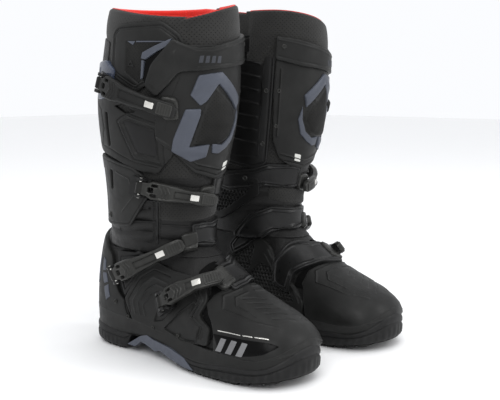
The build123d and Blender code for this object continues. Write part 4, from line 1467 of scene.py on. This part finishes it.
# ---- the soft ankle: punched band, upright seam and piping that lie on its creases ---------------
def fold_chart(P):
    """The ankle chart on the creased surface of the gaiter."""
    base, normal = ankle_chart(P)
    return base + normal * ankle_folds(base)[:, None], normal


emit("ankle_suede_band", panel(L((29, 184), (46, 184), (60, 184), (92, 180), (120, 183), (138, 186),
            (138, 170), (116, 164), (92, 162), (60, 160), (44, 160), (30, 162)), fold_chart, 0.9, 0.1,
        0.6, 3.0, 2), None, SUEDE, blend=BEND)
emit("ankle_front_patch", panel(L((31, 157), (60, 155), (92, 157), (120, 160), (136, 160), (136, 140),
            (60, 138), (30, 140)), fold_chart, 0.9, 0.1, 0.6, 3.0, 2), None, LEATHER,
    blend=BEND)
emit("ankle_piping", merge(*[panel(L(*[(a, z + 1.1 + rise * (a + 20) / 48)
            for a in np.linspace(-20, 27, 12)], *[(a, z - 1.1 + rise * (a + 20) / 48)
            for a in np.linspace(27, -20, 12)]), fold_chart, 1.5, -0.2, 0.9, 2.0, 0.6) for z,
            rise in ((186, -3), (158, 1))], panel(L((27.5, 204), (29.7, 204), (28.7, 134), (26.5, 134)),
            fold_chart, 1.5, -0.2, 0.9, 2.0, 0.6)), None, DARKER, blend=BEND)
emit("ankle_stitching", merge(stitches(fold_chart, L((31.6, 203), (30.4, 136)), 1.1),
        stitches(fold_chart, L((25, 203), (24, 136)), 0.4)), None, THREAD, blend=BEND)
emit("vamp_mesh", panel(arch_uv((-45, -38, 66), (-40, -40, 80), (-28, -50, 91), (0, -56, 96),
            (28, -50, 91), (40, -40, 80), (45, -38, 66), (44, -62, 62), (34, -66, 82), (20, -70, 91),
            (0, -72, 93), (-20, -70, 91), (-34, -66, 82), (-44, -64, 62)), arch_chart, 0.9, 0.1, 0.5,
        2.6, 3), "foot", BLACK_MESH)


# ---- floor, light and camera ---------------------------------------------------------------------
bpy.ops.mesh.primitive_plane_add(size=14, location=(0, 0, -0.0005))
floor = bpy.context.object
floor.name = "floor"
floor.data.materials.append(PALE)

world = bpy.context.scene.world or bpy.data.worlds.new("world")
bpy.context.scene.world = world
world.use_nodes = True
world.node_tree.nodes["Background"].inputs["Color"].default_value = (0.97, 0.98, 1.0, 1)
world.node_tree.nodes["Background"].inputs["Strength"].default_value = 1.0
bpy.context.scene.view_settings.view_transform = "Standard"
bpy.context.scene.view_settings.gamma = 0.89


def softbox(name, at, size, power, towards=(0, 0, 0.2)):
    data = bpy.data.lights.new(name, "AREA")
    data.shape, data.size, data.size_y, data.energy = "RECTANGLE", size[0], size[1], power
    ob = bpy.data.objects.new(name, data)
    ob.location = at
    ob.rotation_euler = (Vector(towards) - Vector(at)).to_track_quat("-Z", "Y").to_euler()
    bpy.context.scene.collection.objects.link(ob)


softbox("key", (-1.7, -1.0, 1.7), (1.0, 1.0), 17)
softbox("top", (0.1, -0.5, 2.2), (1.6, 1.6), 11)
softbox("rim", (0.9, -1.6, 1.1), (0.5, 1.4), 11, (0, 0, 0.2))

# degrees, metres and, for the lens, millimetres
CAMERA = {"azimuth": -49.38, "distance": 1.028, "height": 0.3087, "pitch": 7.52, "pan": -0.07,
    "lens": 61.8048}
camera_data = bpy.data.cameras.new("camera")
camera_data.lens = CAMERA["lens"]
camera = bpy.data.objects.new("camera", camera_data)
bpy.context.scene.collection.objects.link(camera)
turn = math.radians(CAMERA["azimuth"])
camera.location = (math.sin(turn) * CAMERA["distance"], -math.cos(turn) * CAMERA["distance"],
    CAMERA["height"])
camera.rotation_euler = (math.radians(90 - CAMERA["pitch"]), 0, math.radians(CAMERA["azimuth"]
        + CAMERA["pan"]))
bpy.context.scene.camera = camera
